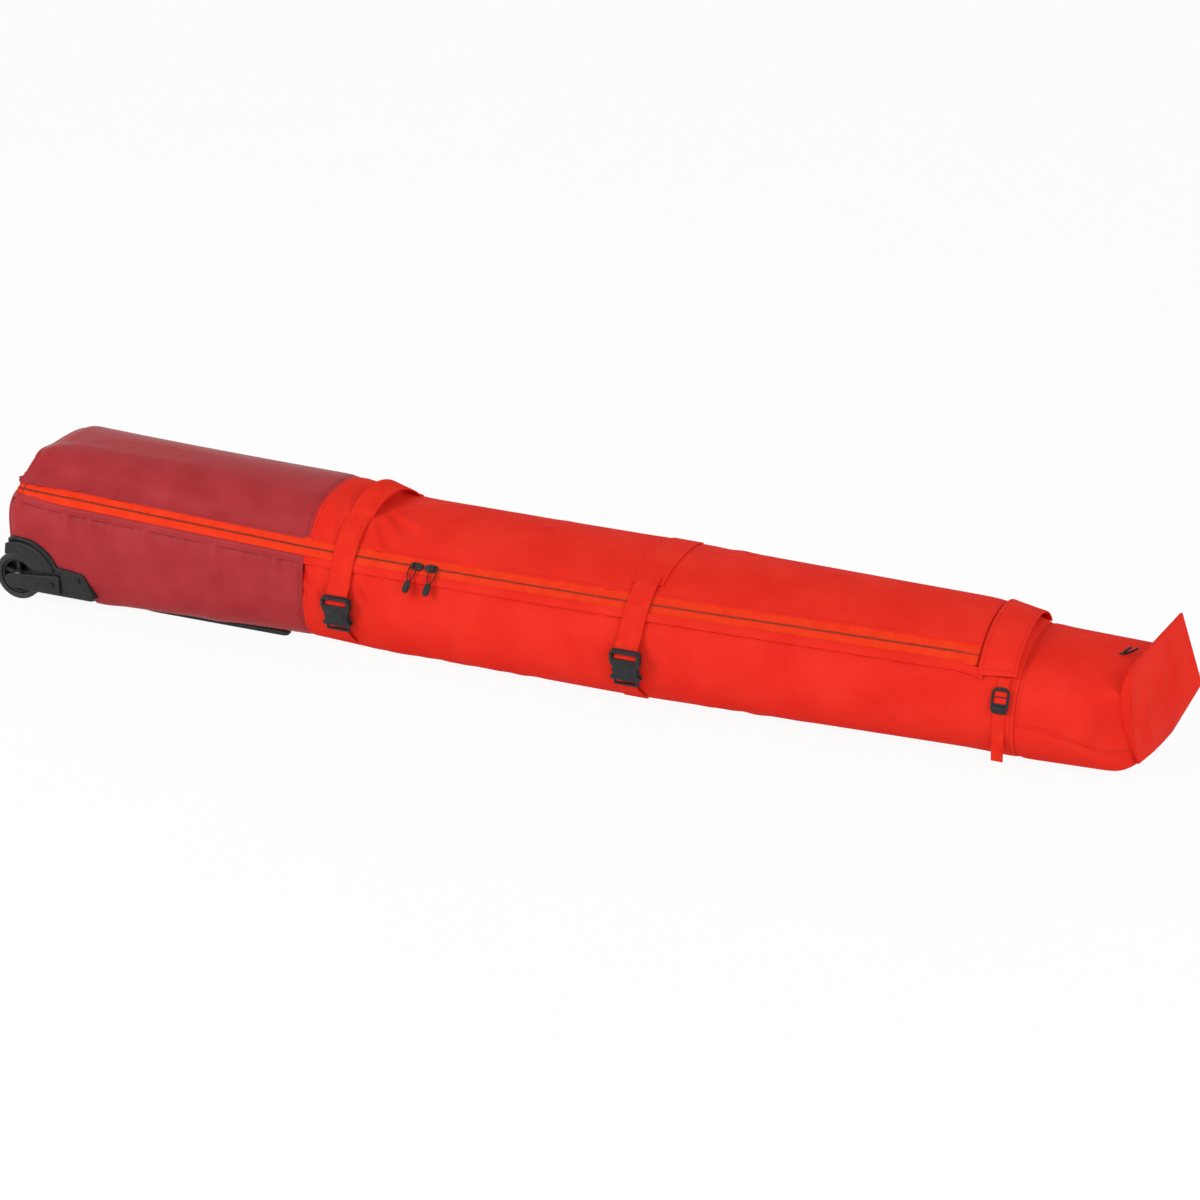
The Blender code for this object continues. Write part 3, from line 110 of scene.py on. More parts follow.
def eased(values, reach):
    """Values along the fine row with their kinks rounded over a number of steps."""
    window = np.exp(-0.5 * (np.arange(-3 * reach, 3 * reach + 1) / reach) ** 2)
    padded = np.pad(values, 3 * reach, mode="edge")
    return np.convolve(padded, window / window.sum(), mode="valid")


def smooth_step(values):
    share = np.clip(values, 0, 1)
    return share * share * (3 - 2 * share)


def shape_table(stations):
    """The section's values along the bag, kinks crisp at the wheel end and soft further on."""
    crisp_steps, soft_steps = 4, 22
    share = smooth_step((FINE_X - REAR_X - 0.04) / 0.06)
    table = []
    for column in stations.T[1:]:
        straight = np.interp(FINE_X, stations[:, 0], column)
        crisp, soft = eased(straight, crisp_steps), eased(straight, soft_steps)
        table.append(crisp * (1 - share) + soft * share)
    return table


TRAY_SHAPE = shape_table(STATIONS)
LID_SHAPE = shape_table(STATIONS[3:])


def section(x, shape):
    return [np.interp(x, FINE_X, column) for column in shape]


def skin(x, u, shape=TRAY_SHAPE):
    """Points on the stuffed outside. u goes from the floor's middle (0) by the near corner (1),
    the widest line (2) and the crown (3) down the far side and back to the floor (6)."""
    x, u = np.broadcast_arrays(np.asarray(x, float), np.asarray(u, float))
    half, top, _, power, corner, floor = section(x, shape)
    u = np.mod(u, 6)
    side = np.where(u > 3, 1.0, -1.0)
    v = np.where(u > 3, 6 - u, u)
    turn = (np.clip(v, 1, 2) - 1) * math.pi / 2
    y = np.where(v <= 1, (half - corner) * v, half - corner + corner * np.sin(turn))
    z = np.where(v <= 1, floor, WIDEST_Z - (WIDEST_Z - floor) * np.cos(turn))
    turn = (np.clip(v, 2, 3) - 2) * math.pi / 2
    across, up = np.maximum(np.cos(turn), 0), np.sin(turn)
    reach = (across ** power + up ** power) ** (-1 / power)
    y = np.where(v > 2, half * reach * across, y)
    z = np.where(v > 2, WIDEST_Z + (top - WIDEST_Z) * reach * up, z)
    return np.stack([x, side * y, z], -1)


def crown_u(x, z, shape=TRAY_SHAPE):
    """Where the near crown passes a height."""
    _, top, _, power, _, _ = section(x, shape)
    share = np.clip((z - WIDEST_Z) / (top - WIDEST_Z), 1e-6, 1 - 1e-9)
    return 2 + np.arctan((share ** -power - 1) ** (-1 / power)) * 2 / math.pi


def stepped_u(x, u, distance, shape=TRAY_SHAPE):
    """u moved by a distance along the outside."""
    speed = np.linalg.norm(skin(x, u + 0.01, shape) - skin(x, u - 0.01, shape), axis=-1) / 0.02
    return u + distance / speed


def zip_u(x, shape=TRAY_SHAPE):
    values = section(x, shape)
    return crown_u(x, values[1] - values[2], shape)


def below_zip(distance):
    return lambda x: stepped_u(x, zip_u(x), -distance)


def above_zip(distance):
    return lambda x: stepped_u(x, zip_u(x, LID_SHAPE), ZIP_SLIT + distance, LID_SHAPE)


def floor_u(x):
    half, _, _, _, corner, _ = section(x, TRAY_SHAPE)
    return 1 - FLOOR_SEAM / (half - corner)


def hinge_u(x, shape=TRAY_SHAPE):
    return 6 - crown_u(x, HINGE_Z, shape)


def spacing(length, step):
    """Shares of a length for the rows of a panel, closer together beside its seams."""
    near, next_row = 0.0025, 0.006
    count = max(2, round((length - 2 * next_row) / step) + 1)
    inner = np.linspace(next_row, length - next_row, count)
    return np.concatenate([[0, near], inner, [length - near, length]]) / length


def run_along(line):
    """How far each point of a line is from its start."""
    return np.concatenate([[0], np.cumsum(np.linalg.norm(np.diff(line, axis=0), axis=1))])


def loft(start, end, low, high, step=0.007, shape=TRAY_SHAPE, shares=None):
    """A grid of points over the outside between two limits, evenly spaced or at given shares."""
    xs = start + (end - start) * spacing(end - start, step)
    lines = []
    for x in xs:
        u = np.linspace(low(x), high(x), 300)
        lines.append((x, u, run_along(skin(x, u, shape))))
    if shares is None:
        shares = spacing(float(np.mean([run[-1] for _, _, run in lines])), step)
    return np.array([skin(x, np.interp(shares * run[-1], run, u), shape) for x, u, run in lines])


def unit(vectors):
    return vectors / np.maximum(np.linalg.norm(vectors, axis=-1, keepdims=True), 1e-12)


def grid_normals(points):
    return unit(np.cross(np.gradient(points, axis=0), np.gradient(points, axis=1)))


def edge_distances(points):
    """How far each point of a grid is from its start, end, low and high edges."""
    rows = np.linalg.norm(np.diff(points, axis=0), axis=-1)
    columns = np.linalg.norm(np.diff(points, axis=1), axis=-1)
    along = np.concatenate([np.zeros_like(points[:1, :, 0]), np.cumsum(rows, axis=0)])
    around = np.concatenate([np.zeros_like(points[:, :1, 0]), np.cumsum(columns, axis=1)], 1)
    return along, along[-1:] - along, around, around[:, -1:] - around


def sewn_in(points, edges, depth=0.0028, reach=0.007):
    """A panel's grid drawn in where its edges are sewn; edges holds s, e, l or h."""
    dip = np.zeros(points.shape[:2])
    for key, distance in zip("selh", edge_distances(points)):
        if key in edges:
            dip = np.maximum(dip, depth * np.exp(-(distance / reach) ** 2))
    return points - grid_normals(points) * dip[..., None]


def linked(name, data, *materials):
    """A new object in the scene for a mesh or other data, with its materials."""
    for material in materials:
        data.materials.append(material)
    obj = bpy.data.objects.new(name, data)
    scene.collection.objects.link(obj)
    return obj


def set_uv(mesh, at):
    """A UV map in metres, from a place for each vertex."""
    corners = np.zeros(len(mesh.loops), np.int32)
    mesh.loops.foreach_get("vertex_index", corners)
    layer = mesh.uv_layers.new(name="cloth")
    layer.data.foreach_set("uv", at.reshape(-1, 2)[corners].astype(np.float32).ravel())


def grid_piece(name, points, materials):
    """A mesh over a grid of points, with a UV map in metres along and round the bag."""
    rows, columns = points.shape[:2]
    index = np.arange(rows * columns).reshape(rows, columns)
    faces = np.stack([index[:-1, :-1], index[1:, :-1], index[1:, 1:], index[:-1, 1:]], -1)
    mesh = bpy.data.meshes.new(name)
    mesh.from_pydata(points.reshape(-1, 3).tolist(), [], faces.reshape(-1, 4).tolist())
    along, _, around, _ = edge_distances(points)
    set_uv(mesh, np.stack([along, around], -1))
    mesh.shade_smooth()
    return linked(name, mesh, *materials)


def mesh_points(mesh):
    flat = np.zeros(len(mesh.vertices) * 3, np.float32)
    mesh.vertices.foreach_get("co", flat)
    return flat.reshape(-1, 3).astype(float)


FILL_STEPS = 16
HELD_EDGE = 0.004
CLOTH = {"quality": 5, "mass": 0.2, "tension_stiffness": 25, "compression_stiffness": 25,
         "shear_stiffness": 10, "bending_stiffness": 0.8, "air_damping": 3, "use_pressure": True}


def fill_out(piece, points, slack, pressure, cap, held):
    """Fill a sewn panel: cloth cut longer than its seams is pressed outwards and puckers."""
    rest = mesh_points(piece.data)
    near_seam = np.min(edge_distances(points), axis=0) < HELD_EDGE
    if held is not None:
        near_seam |= held
    seam = piece.vertex_groups.new(name="sewn")
    seam.add(np.flatnonzero(near_seam.ravel()).tolist(), 1.0, "REPLACE")
    piece.shape_key_add(name="sewn")
    cut = piece.shape_key_add(name="cut")
    longer = rest.copy()
    longer[:, 0] += (longer[:, 0] - longer[:, 0].mean()) * slack
    cut.data.foreach_set("co", longer.astype(np.float32).ravel())
    filling = piece.modifiers.new("filling", "CLOTH")
    cloth = filling.settings
    for key, value in CLOTH.items():
        setattr(cloth, key, value)
    cloth.rest_shape_key = cut
    cloth.vertex_group_mass = "sewn"
    cloth.uniform_pressure_force = pressure
    cloth.effector_weights.gravity = 0
    filling.collision_settings.use_collision = False
    filling.point_cache.frame_end = FILL_STEPS
    for step in range(1, FILL_STEPS + 1):
        scene.frame_set(step)
    settled = piece.evaluated_get(bpy.context.evaluated_depsgraph_get())
    moved = mesh_points(settled.data) - rest
    piece.modifiers.remove(filling)
    piece.shape_key_clear()
    far = np.linalg.norm(moved, axis=1, keepdims=True)
    filled = rest + moved * np.minimum(1, cap / np.maximum(far, 1e-9))
    filled[:, 2] = np.maximum(filled[:, 2], 0.0)
    piece.data.vertices.foreach_set("co", filled.astype(np.float32).ravel())
    piece.data.update()
    scene.frame_set(1)


def cloth_wall(obj, thickness, levels=1):
    """Round a panel's mesh and give it the thickness of its padding, inwards."""
    if levels:
        rounder = obj.modifiers.new("rounding", "SUBSURF")
        rounder.levels = levels
        rounder.render_levels = levels
        rounder.boundary_smooth = "PRESERVE_CORNERS"
    wall = obj.modifiers.new("padding", "SOLIDIFY")
    wall.thickness = thickness
    wall.offset = -1
    wall.material_offset = 1
    wall.material_offset_rim = 0
    return obj


def attach(obj, body, slot, *nodes):
    """Let a piece move with its body and stand for its CAD nodes; slot is not used."""
    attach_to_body(obj, body)
    if nodes:
        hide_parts(*nodes)
    return obj


def linear(hex_colour):
    """An sRGB hex colour as linear light."""
    parts = [int(hex_colour[k:k + 2], 16) / 255 for k in (1, 3, 5)]
    return tuple(p / 12.92 if p <= 0.04045 else ((p + 0.055) / 1.055) ** 2.4
                 for p in parts) + (1,)


def add(tree, kind, inputs=None, **settings):
    """A node with its settings, and its inputs set to values or linked to sockets."""
    made = tree.nodes.new(kind)
    for key, value in settings.items():
        setattr(made, key, value)
    for key, value in (inputs or {}).items():
        if isinstance(value, bpy.types.NodeSocket):
            tree.links.new(value, made.inputs[key])
        else:
            made.inputs[key].default_value = value
    return made


def ramp(tree, factor, low, high, start, end):
    """Two colours mixed by a pattern."""
    made = add(tree, "ShaderNodeValToRGB", {"Fac": factor})
    for stop, position, colour in zip(made.color_ramp.elements, (start, end), (low, high)):
        stop.position = position
        stop.color = linear(colour)
    return made.outputs["Color"]


def noise(tree, place, size, detail=2.0):
    """A cloudy pattern whose patches have a real size."""
    return add(tree, "ShaderNodeTexNoise",
               {"Vector": place, "Scale": 1 / size, "Detail": detail}).outputs["Fac"]


def mottled(name, low, high, size, detail, constants, start=0.3, end=0.7, stretch=None):
    """A new material that drifts between two colours, with its shader's constants set."""
    material = bpy.data.materials.new(name)
    material.use_nodes = True
    tree = material.node_tree
    shader = tree.nodes["Principled BSDF"]
    coords = add(tree, "ShaderNodeTexCoord").outputs
    place = coords["Object"]
    if stretch:
        mapping = add(tree, "ShaderNodeMapping", {"Vector": place, "Scale": stretch})
        place = mapping.outputs["Vector"]
    cloud = noise(tree, place, size, detail)
    tree.links.new(ramp(tree, cloud, low, high, start, end), shader.inputs["Base Color"])
    for key, value in constants.items():
        shader.inputs[key].default_value = value
    return material, tree, shader, coords, cloud


def bumped(tree, shader, *layers):
    """Bump nodes in a row, each with a pattern, a strength and a depth in metres."""
    normal = None
    for height, strength, depth in layers:
        inputs = {"Height": height, "Strength": strength, "Distance": depth}
        if normal is not None:
            inputs["Normal"] = normal
        normal = add(tree, "ShaderNodeBump", inputs).outputs["Normal"]
    tree.links.new(normal, shader.inputs["Normal"])


def coated_tarpaulin():
    """PVC-coated polyester: a soft satin film over a faint cloth grain, with shallow dents."""
    material, tree, shader, coords, mottle = mottled(
        "coated_tarpaulin", "#9D2C30", "#A93539", 0.060, 4.0,
        {"IOR": 1.5, "Specular IOR Level": 0.05})
    dull = add(tree, "ShaderNodeMapRange", {"Value": mottle, "From Min": 0.3, "From Max": 0.7,
                                            "To Min": 0.34, "To Max": 0.44})
    tree.links.new(dull.outputs["Result"], shader.inputs["Roughness"])
    bumped(tree, shader, (noise(tree, coords["Object"], 0.0014), 0.12, 0.0004),
           (noise(tree, coords["Object"], 0.022), 0.25, 0.003))
    return material


def lining_cloth():
    """Plain polyester lining: matt, dark grey, with a faint uneven weave."""
    material, tree, shader, _, uneven = mottled(
        "grey_polyester_lining", "#4A4A4D", "#5A5A5D", 0.0020, 2.0, {"Roughness": 0.8})
    bumped(tree, shader, (uneven, 0.2, 0.0005))
    return material


TARPAULIN = coated_tarpaulin()
LINING = lining_cloth()
PADDING = 0.0045
CLEAR_OF_HOUSING = 0.012
WELT_WIDTH = 0.0165
WELT_LAP = 0.005
STRAP_1_X = WAIST_X + 0.075
STRAP_2_X = WAIST_X + 0.618
BAND_START_X = LID_END_X + 0.004
PRESSED_AT = ((STRAP_1_X, 0.020), (STRAP_2_X, 0.028), (BAND_START_X + 0.030, 0.032))


def drop_faces(obj, inside):
    """Take away the faces whose middles a test finds inside a cut-out."""
    builder = bmesh.new()
    builder.from_mesh(obj.data)
    gone = [face for face in builder.faces if inside(face.calc_center_median())]
    bmesh.ops.delete(builder, geom=gone, context="FACES")
    builder.to_mesh(obj.data)
    builder.free()


def sewn_panel(stem, points, cloth, body, slot, back=LINING, wall=PADDING, levels=1, filling=None,
               held=None, cut=None):
    """A panel that is filled, cut out, given its wall, and set in place of its CAD node if any.

    filling holds the slack, pressure and cap of fill_out.
    """
    piece = grid_piece(stem + "_cloth", points, (cloth, back))
    if filling:
        fill_out(piece, points, *filling, held)
    if cut:
        drop_faces(piece, cut)
    cloth_wall(piece, wall, levels)
    nodes = [stem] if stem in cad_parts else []
    attach(piece, body, slot, *nodes)
    return piece


def tape_shown(x):
    """How much of each zip tape shows: least by the corner of the wheel end, most in front."""
    return np.interp(x, (LID_X, LID_X + 0.09, WAIST_X, MID_X), (0.0065, 0.0115, 0.0115, 0.0145))


def welt_high(x):
    return below_zip(tape_shown(x))(x)


def welt_low(x):
    return below_zip(tape_shown(x) + WELT_WIDTH)(x)


def side_high(x):
    """The upper edge of a side panel, tucked under the welt and level past the end of the lid."""
    place = min(x, LID_END_X)
    under_welt = below_zip(tape_shown(place) + WELT_WIDTH - WELT_LAP)(place)
    return under_welt if x < LID_END_X else crown_u(x, skin(place, under_welt)[2])


def lid_low(x):
    return above_zip(tape_shown(x))(x)


HOUSING_IN = 0.127
HOUSING_OUT = 0.176
ARCH_AT = (0.026, 0.0499)
ARCH_RADIUS = 0.0789
PLATE_END = 0.173
PLATE_SHOULDER = (0.152, 0.076)


def in_housing(point):
    """Inside the cut-out for a wheel housing, short of the edge that the housing covers."""
    x = point.x - REAR_X
    if abs(point.y) < HOUSING_IN + CLEAR_OF_HOUSING or x > PLATE_END - CLEAR_OF_HOUSING:
        return False
    beside = math.hypot(x - ARCH_AT[0], max(point.z - ARCH_AT[1], 0))
    slope = 2 * max(x - PLATE_SHOULDER[0] + 0.006, 0)
    return (beside < ARCH_RADIUS - CLEAR_OF_HOUSING
            or point.z < PLATE_SHOULDER[1] - CLEAR_OF_HOUSING - slope)


def pressed(points):
    """1 where a strap or band holds a panel down, falling to 0 beside it."""
    hold = np.zeros(points.shape[:2])
    for x, half in PRESSED_AT:
        hold = np.maximum(hold, 1 - smooth_step((np.abs(points[..., 0] - x) - half) / 0.018))
    return hold


def gathers(points, edge, seed, spacing_between, depth, reach, until=9.0):
    """Small puckers that run in from a seam, where its thread draws the cloth up."""
    draws = np.random.default_rng(seed)
    along, _, from_low, from_high = edge_distances(points)
    away = from_high if edge == "h" else from_low
    height = np.zeros(points.shape[:2])
    place = draws.uniform(0, spacing_between)
    while place < along.max():
        tall = depth * draws.uniform(0.25, 1)
        width = draws.uniform(0.004, 0.008)
        far = reach * draws.uniform(0.35, 1.2)
        slant = draws.uniform(-0.2, 0.5)
        beside = (along - place - slant * away) / (width + 0.10 * away)
        height += tall * np.exp(-beside ** 2) * np.exp(-(away / far) ** 2)
        place += spacing_between * draws.uniform(0.5, 1.7)
    fade = np.clip((until - along) / 0.1, 0, 1) * np.clip(along / 0.02, 0, 1)
    height = height * fade * (1 - pressed(points))
    return points + grid_normals(points) * height[..., None]


def fold(points, start, end, width, depth):
    """A soft crease between two places on a panel: a ridge with a hollow beside it."""
    start, end = np.asarray(start, float), np.asarray(end, float)
    run = end - start
    share = np.clip((points - start) @ run / run.dot(run), 0, 1)
    apart = points - (start + share[..., None] * run)
    normals = grid_normals(points)
    across = np.cross(run / np.linalg.norm(run), normals)
    beside = (apart * across).sum(-1)
    past = np.linalg.norm(apart - beside[..., None] * across, axis=-1)
    ridge = np.exp(-(beside / width) ** 2) - 0.7 * np.exp(-((beside - 1.7 * width) / width) ** 2)
    fade = np.sqrt(np.clip(4 * share * (1 - share), 0, 1)) * np.exp(-(past / (2 * width)) ** 2)
    return points + normals * (depth * ridge * fade * (1 - pressed(points)))[..., None]


def creased(points, seed, count, depth):
    """Soft creases here and there on a panel, as filled cloth keeps from being folded."""
    draws = np.random.default_rng(seed)
    rows, columns = points.shape[:2]
    for _ in range(count):
        row, column = draws.integers(rows // 12, rows - rows // 12), draws.integers(2, columns - 2)
        start = points[row, column]
        way = draws.normal(size=2) * (0.045, 0.075)
        apart = np.linalg.norm(points - (start + (way[0], 0, way[1])), axis=-1)
        end = points[np.unravel_index(apart.argmin(), apart.shape)]
        size = draws.uniform(0.4, 1)
        if np.linalg.norm(end - start) > 0.02:
            points = fold(points, start, end, 0.007 + 0.010 * size, depth * size)
    points[..., 2] = np.maximum(points[..., 2], 0.0)
    return points


def set_folds(points, spot, folds):
    """Creases at set places: two spots each, with a width and a depth."""
    for first, second, first_end, second_end, width, depth in folds:
        points = fold(points, spot(first, second), spot(first_end, second_end), width, depth)
    return points


def side_spot(x, z):
    return skin(x, crown_u(x, z))


def under_zip(points, seed, depth):
    """The two layers of puckers of a panel that hangs from the welt under the zip."""
    points = gathers(points, "h", seed, 0.030, depth, 0.075)
    return gathers(points, "h", seed + 1, 0.11, depth * 1.1, 0.15)


def far_floor_u(x):
    return 6 - floor_u(x)


SEAM_DIP = 0.0012
REAR_FILLING = (0.005, 1.2, 0.004)
near_points = sewn_in(loft(REAR_X, WAIST_X, floor_u, side_high), "e", SEAM_DIP)
near_points = under_zip(sewn_in(near_points, "h", 0.0032, 0.010), 11, 0.0054)
near_points = set_folds(near_points, side_spot, (
    (-0.945, 0.170, -0.900, 0.120, 0.012, 0.0030), (-0.760, 0.165, -0.715, 0.095, 0.013, 0.0028),
    (-0.640, 0.160, -0.615, 0.100, 0.010, 0.0026), (-0.500, 0.160, -0.470, 0.095, 0.011, 0.0034)))
rear_near = sewn_panel("rear_side_near", near_points, TARPAULIN, "base", "tarpaulin",
                       filling=REAR_FILLING, cut=in_housing)

far_points = sewn_in(loft(REAR_X, WAIST_X, hinge_u, far_floor_u), "sel")
far_points = gathers(far_points, "l", 21, 0.045, 0.0020, 0.06)
sewn_panel("rear_side_far", far_points, TARPAULIN, "base", "tarpaulin",
           filling=REAR_FILLING, cut=in_housing)

# Floor of the wheel end. The same tarpaulin, kept flat by the board that lies on it inside, and
# cut away at the rear corners for the wheels.
WHEEL_WELL_END = 0.060
floor_points = loft(REAR_X, WAIST_X, lambda x: -floor_u(x), floor_u, 0.012)
sewn_panel("rear_floor", floor_points, TARPAULIN, "base", "tarpaulin", levels=0,
           cut=lambda p: in_housing(p) and p.x < REAR_X + WHEEL_WELL_END)

# End wall and cap of the wheel end. One stiffened tarpaulin panel with a rounded rim, and the
# narrow ledge over it that carries the zip round the end of the lid.
WALL_X = REAR_X - 0.0064
WALL_ROUND = 0.006
WALL_THICK = 0.003
HOUSING_TOP = 0.121


def ring_at(x, shape, low_u, high_u):
    """Evenly spaced points round the outside at one place along the bag."""
    count = 120
    u = np.linspace(low_u, high_u, count)
    run = run_along(skin(x, u, shape))
    return skin(x, np.interp(np.linspace(0, run[-1], count), run, u), shape)


def end_panel(rim, wall_x, round_in, middle):
    """Rows from a rim inwards to a middle line, over a rounded edge onto a flat wall."""
    rim_x = rim[0, 0]
    towards = middle - rim
    towards[:, 0] = 0
    far = np.maximum(np.linalg.norm(towards, axis=1, keepdims=True), 1e-9)
    rows = []
    for turn in np.linspace(0, math.pi / 2, 6):
        row = rim + towards / far * np.minimum(round_in * (1 - math.cos(turn)), far)
        row[:, 0] = rim_x + (wall_x - rim_x) * math.sin(turn)
        rows.append(row)
    last = rows[-1]
    for share in np.linspace(0, 1, 16)[1:]:
        row = last + (middle - last) * share
        row[:, 0] = wall_x - 0.002 * math.sin(math.pi * min(share, 0.5))
        rows.append(row)
    return np.array(rows)


def behind_wheel(point):
    """Inside the end wall's cut-out for a wheel, short of the edge that the housing covers."""
    return abs(point.y) > HOUSING_IN + 0.004 and point.z < HOUSING_TOP - CLEAR_OF_HOUSING


rim = ring_at(REAR_X, TRAY_SHAPE, 0.0, 5.999)
middle = np.stack([np.full(len(rim), REAR_X), np.clip(rim[:, 1], -0.06, 0.06),
                   np.full(len(rim), 0.11)], -1)
sewn_panel("rear_end_wall", end_panel(rim, WALL_X, WALL_ROUND, middle)[::-1], TARPAULIN, "base",
           "tarpaulin", wall=WALL_THICK, cut=behind_wheel)

CAP_SINK = 0.0045
cap_points = loft(REAR_X, CAP_X, side_high, hinge_u, 0.006)
sink = CAP_SINK * np.clip((cap_points[..., 0] - REAR_X) / 0.006, 0, 1)
cap_points = cap_points - grid_normals(cap_points) * sink[..., None]
sewn_panel("rear_cap", cap_points, TARPAULIN, "base", "tarpaulin", wall=WALL_THICK)

# Stiffener of the wheel end. A sheet of grey polypropylene under the lining, which the wheel
# housings and the skids are screwed to.


def extruded_board():
    """Extruded polypropylene sheet: grey, faintly streaked along its length."""
    return mottled("extruded_polypropylene_sheet", "#707174", "#7F8083", 1.0, 2.0,
                   {"Roughness": 0.5}, stretch=(1 / 0.2, 1 / 0.004, 1))[0]


def refinish(node, material):
    """A CAD node whose shape is right keeps it, and gets a better material."""
    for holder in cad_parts[node].material_slots:
        holder.material = material


refinish("floor_board", extruded_board())

# Front of the tray. Bright woven nylon over foam: two sides, a floor, and the yoke that closes
# the top between the end of the lid and the tail sleeve.


def weave(tree, cloth, along, across, distortion, detail_scale):
    """Soft waves both ways on a cloth's own map, from the metres in which each turns a radian."""
    radians_in_unit = 20
    waves = [add(tree, "ShaderNodeTexWave",
                 {"Vector": cloth, "Scale": 1 / size / radians_in_unit, "Distortion": distortion,
                  "Detail Scale": detail_scale}, bands_direction=way).outputs["Fac"]
             for way, size in (("X", along), ("Y", across))]
    return add(tree, "ShaderNodeMath", dict(enumerate(waves)), operation="ADD").outputs["Value"]


def woven_nylon():
    """Nylon cloth with a thin coating inside: matt, softly mottled and dented.

    Its threads are too fine to show; a faint ripple about 10 mm long stands for them.
    """
    material, tree, shader, coords, _ = mottled(
        "woven_nylon", "#DE291E", "#E63325", 0.080, 4.0,
        {"Roughness": 0.6, "IOR": 1.45, "Specular IOR Level": 0.02})
    bumped(tree, shader, (weave(tree, coords["UV"], 0.0016, 0.0016, 0.4, 2.0), 0.10, 0.0004),
           (noise(tree, coords["Object"], 0.030, 3.0), 0.40, 0.003))
    return material


NYLON = woven_nylon()
FRONT_FILLING = (0.004, 1.2, 0.004)
near_points = sewn_in(loft(WAIST_X, TAIL_X, floor_u, side_high), "se", SEAM_DIP)
near_points = under_zip(sewn_in(near_points, "h", 0.0022, 0.010), 31, 0.0018)
near_points = set_folds(near_points, side_spot, (
    (-0.426, 0.160, -0.400, 0.095, 0.007, 0.0065), (-0.406, 0.172, -0.396, 0.120, 0.005, 0.0048),
    (-0.430, 0.125, -0.408, 0.060, 0.006, 0.0050), (-0.336, 0.168, -0.296, 0.110, 0.009, 0.0044),
    (0.060, 0.160, 0.095, 0.110, 0.010, 0.0030), (0.225, 0.165, 0.262, 0.115, 0.011, 0.0032)))
near_points = creased(near_points, 33, 30, 0.0022)
front_near = sewn_panel("front_side_near", near_points, NYLON, "base", "nylon",
                        filling=FRONT_FILLING, held=pressed(near_points) > 0.5)

far_points = sewn_in(loft(WAIST_X, TAIL_X, hinge_u, far_floor_u), "sel")
far_points = creased(gathers(far_points, "l", 41, 0.050, 0.0018, 0.06), 43, 30, 0.0022)
sewn_panel("front_side_far", far_points, NYLON, "base", "nylon", filling=FRONT_FILLING)

floor_points = loft(WAIST_X, TAIL_X, lambda x: -floor_u(x), floor_u, 0.014)
sewn_panel("front_floor", floor_points, NYLON, "base", "nylon", levels=0)

yoke_points = sewn_in(loft(LID_END_X + 0.0005, TAIL_X, side_high, hinge_u), "e")
sewn_panel("yoke", yoke_points, NYLON, "base", "nylon")

# Tail sleeve. Two shaped nylon panels, sewn to the front with a ring seam and to each other
# along both sides; its open end is pulled in to the end panel.
TAIL_SEAM_AT = (0.8245, 0.880, 0.945, 1.0185)
TAIL_SEAM_Z = (0.088, 0.087, 0.074, 0.036)
TAIL_CURL = 0.018
TAIL_CURL_RUN = 0.030
TAIL_TUCK = 0.055
TAIL_FLAT = 0.018
FLAP_LEAN = math.radians(4)
FLAP_YAW = math.radians(7)
FLAP_HEIGHT = 0.196
FLAP_NEAR = 0.112
FLAP_FOOT = 0.050


def tail_seam_u(x):
    """The seam along the side of the tail, which falls towards the foot of the end panel."""
    drop = WIDEST_Z - np.interp(x, TAIL_SEAM_AT, TAIL_SEAM_Z)
    return 1 + np.arccos(drop / (WIDEST_Z - section(x, TRAY_SHAPE)[5])) * 2 / math.pi


def flap_plane_x(y, z):
    return TAIL_END_X + y * math.tan(FLAP_YAW) - z * math.tan(FLAP_LEAN)


def flap_near_edge(z):
    return FLAP_NEAR - FLAP_FOOT * (1 - np.clip(z / FLAP_HEIGHT, 0, 1)) ** 2


def to_flap(points):
    """The sleeve's rows fanned out to the end panel's plane and tucked in to its near edge."""
    along = (points[..., 0] - TAIL_X) / (TAIL_END_X - TAIL_X)
    up = np.clip(points[..., 2] / 0.08, 0, 1)
    before = TAIL_END_X - TAIL_FLAT * up - points[..., 0]
    tuck = np.clip(1 - before / TAIL_TUCK, 0, 1) ** (4.0 - 2.7 * up)
    y = points[..., 1]
    y = y + (np.maximum(y, 0.004 - flap_near_edge(points[..., 2])) - y) * tuck
    x = points[..., 0] + along * (flap_plane_x(y, points[..., 2]) - TAIL_END_X)
    curl = np.clip(1 - (TAIL_END_X - points[..., 0]) / TAIL_CURL_RUN, 0, 1) ** 2
    curl = curl * np.clip(0.5 - y / 0.12, 0, 1) * (1 - np.clip(points[..., 2] / 0.06, 0, 1))
    return np.stack([x, y, points[..., 2] + TAIL_CURL * curl], -1)


def far_tail_seam_u(x):
    return 6 - tail_seam_u(x)


upper_points = to_flap(sewn_in(loft(TAIL_X, TAIL_END_X, tail_seam_u, far_tail_seam_u), "slh"))
upper_points = fold(upper_points, (0.968, -0.135, 0.155), (0.985, -0.128, 0.085), 0.013, -0.006)
upper_points = fold(upper_points, (0.87, -0.138, 0.082), (0.97, -0.135, 0.088), 0.009, 0.0025)
tail_upper = sewn_panel("tail_upper", upper_points, NYLON, "base", "nylon",
                        filling=(0.008, 1.0, 0.006))

lower_points = to_flap(sewn_in(loft(TAIL_X, TAIL_END_X, lambda x: -tail_seam_u(x), tail_seam_u),
                               "slh"))
sewn_panel("tail_lower", lower_points, NYLON, "base", "nylon")

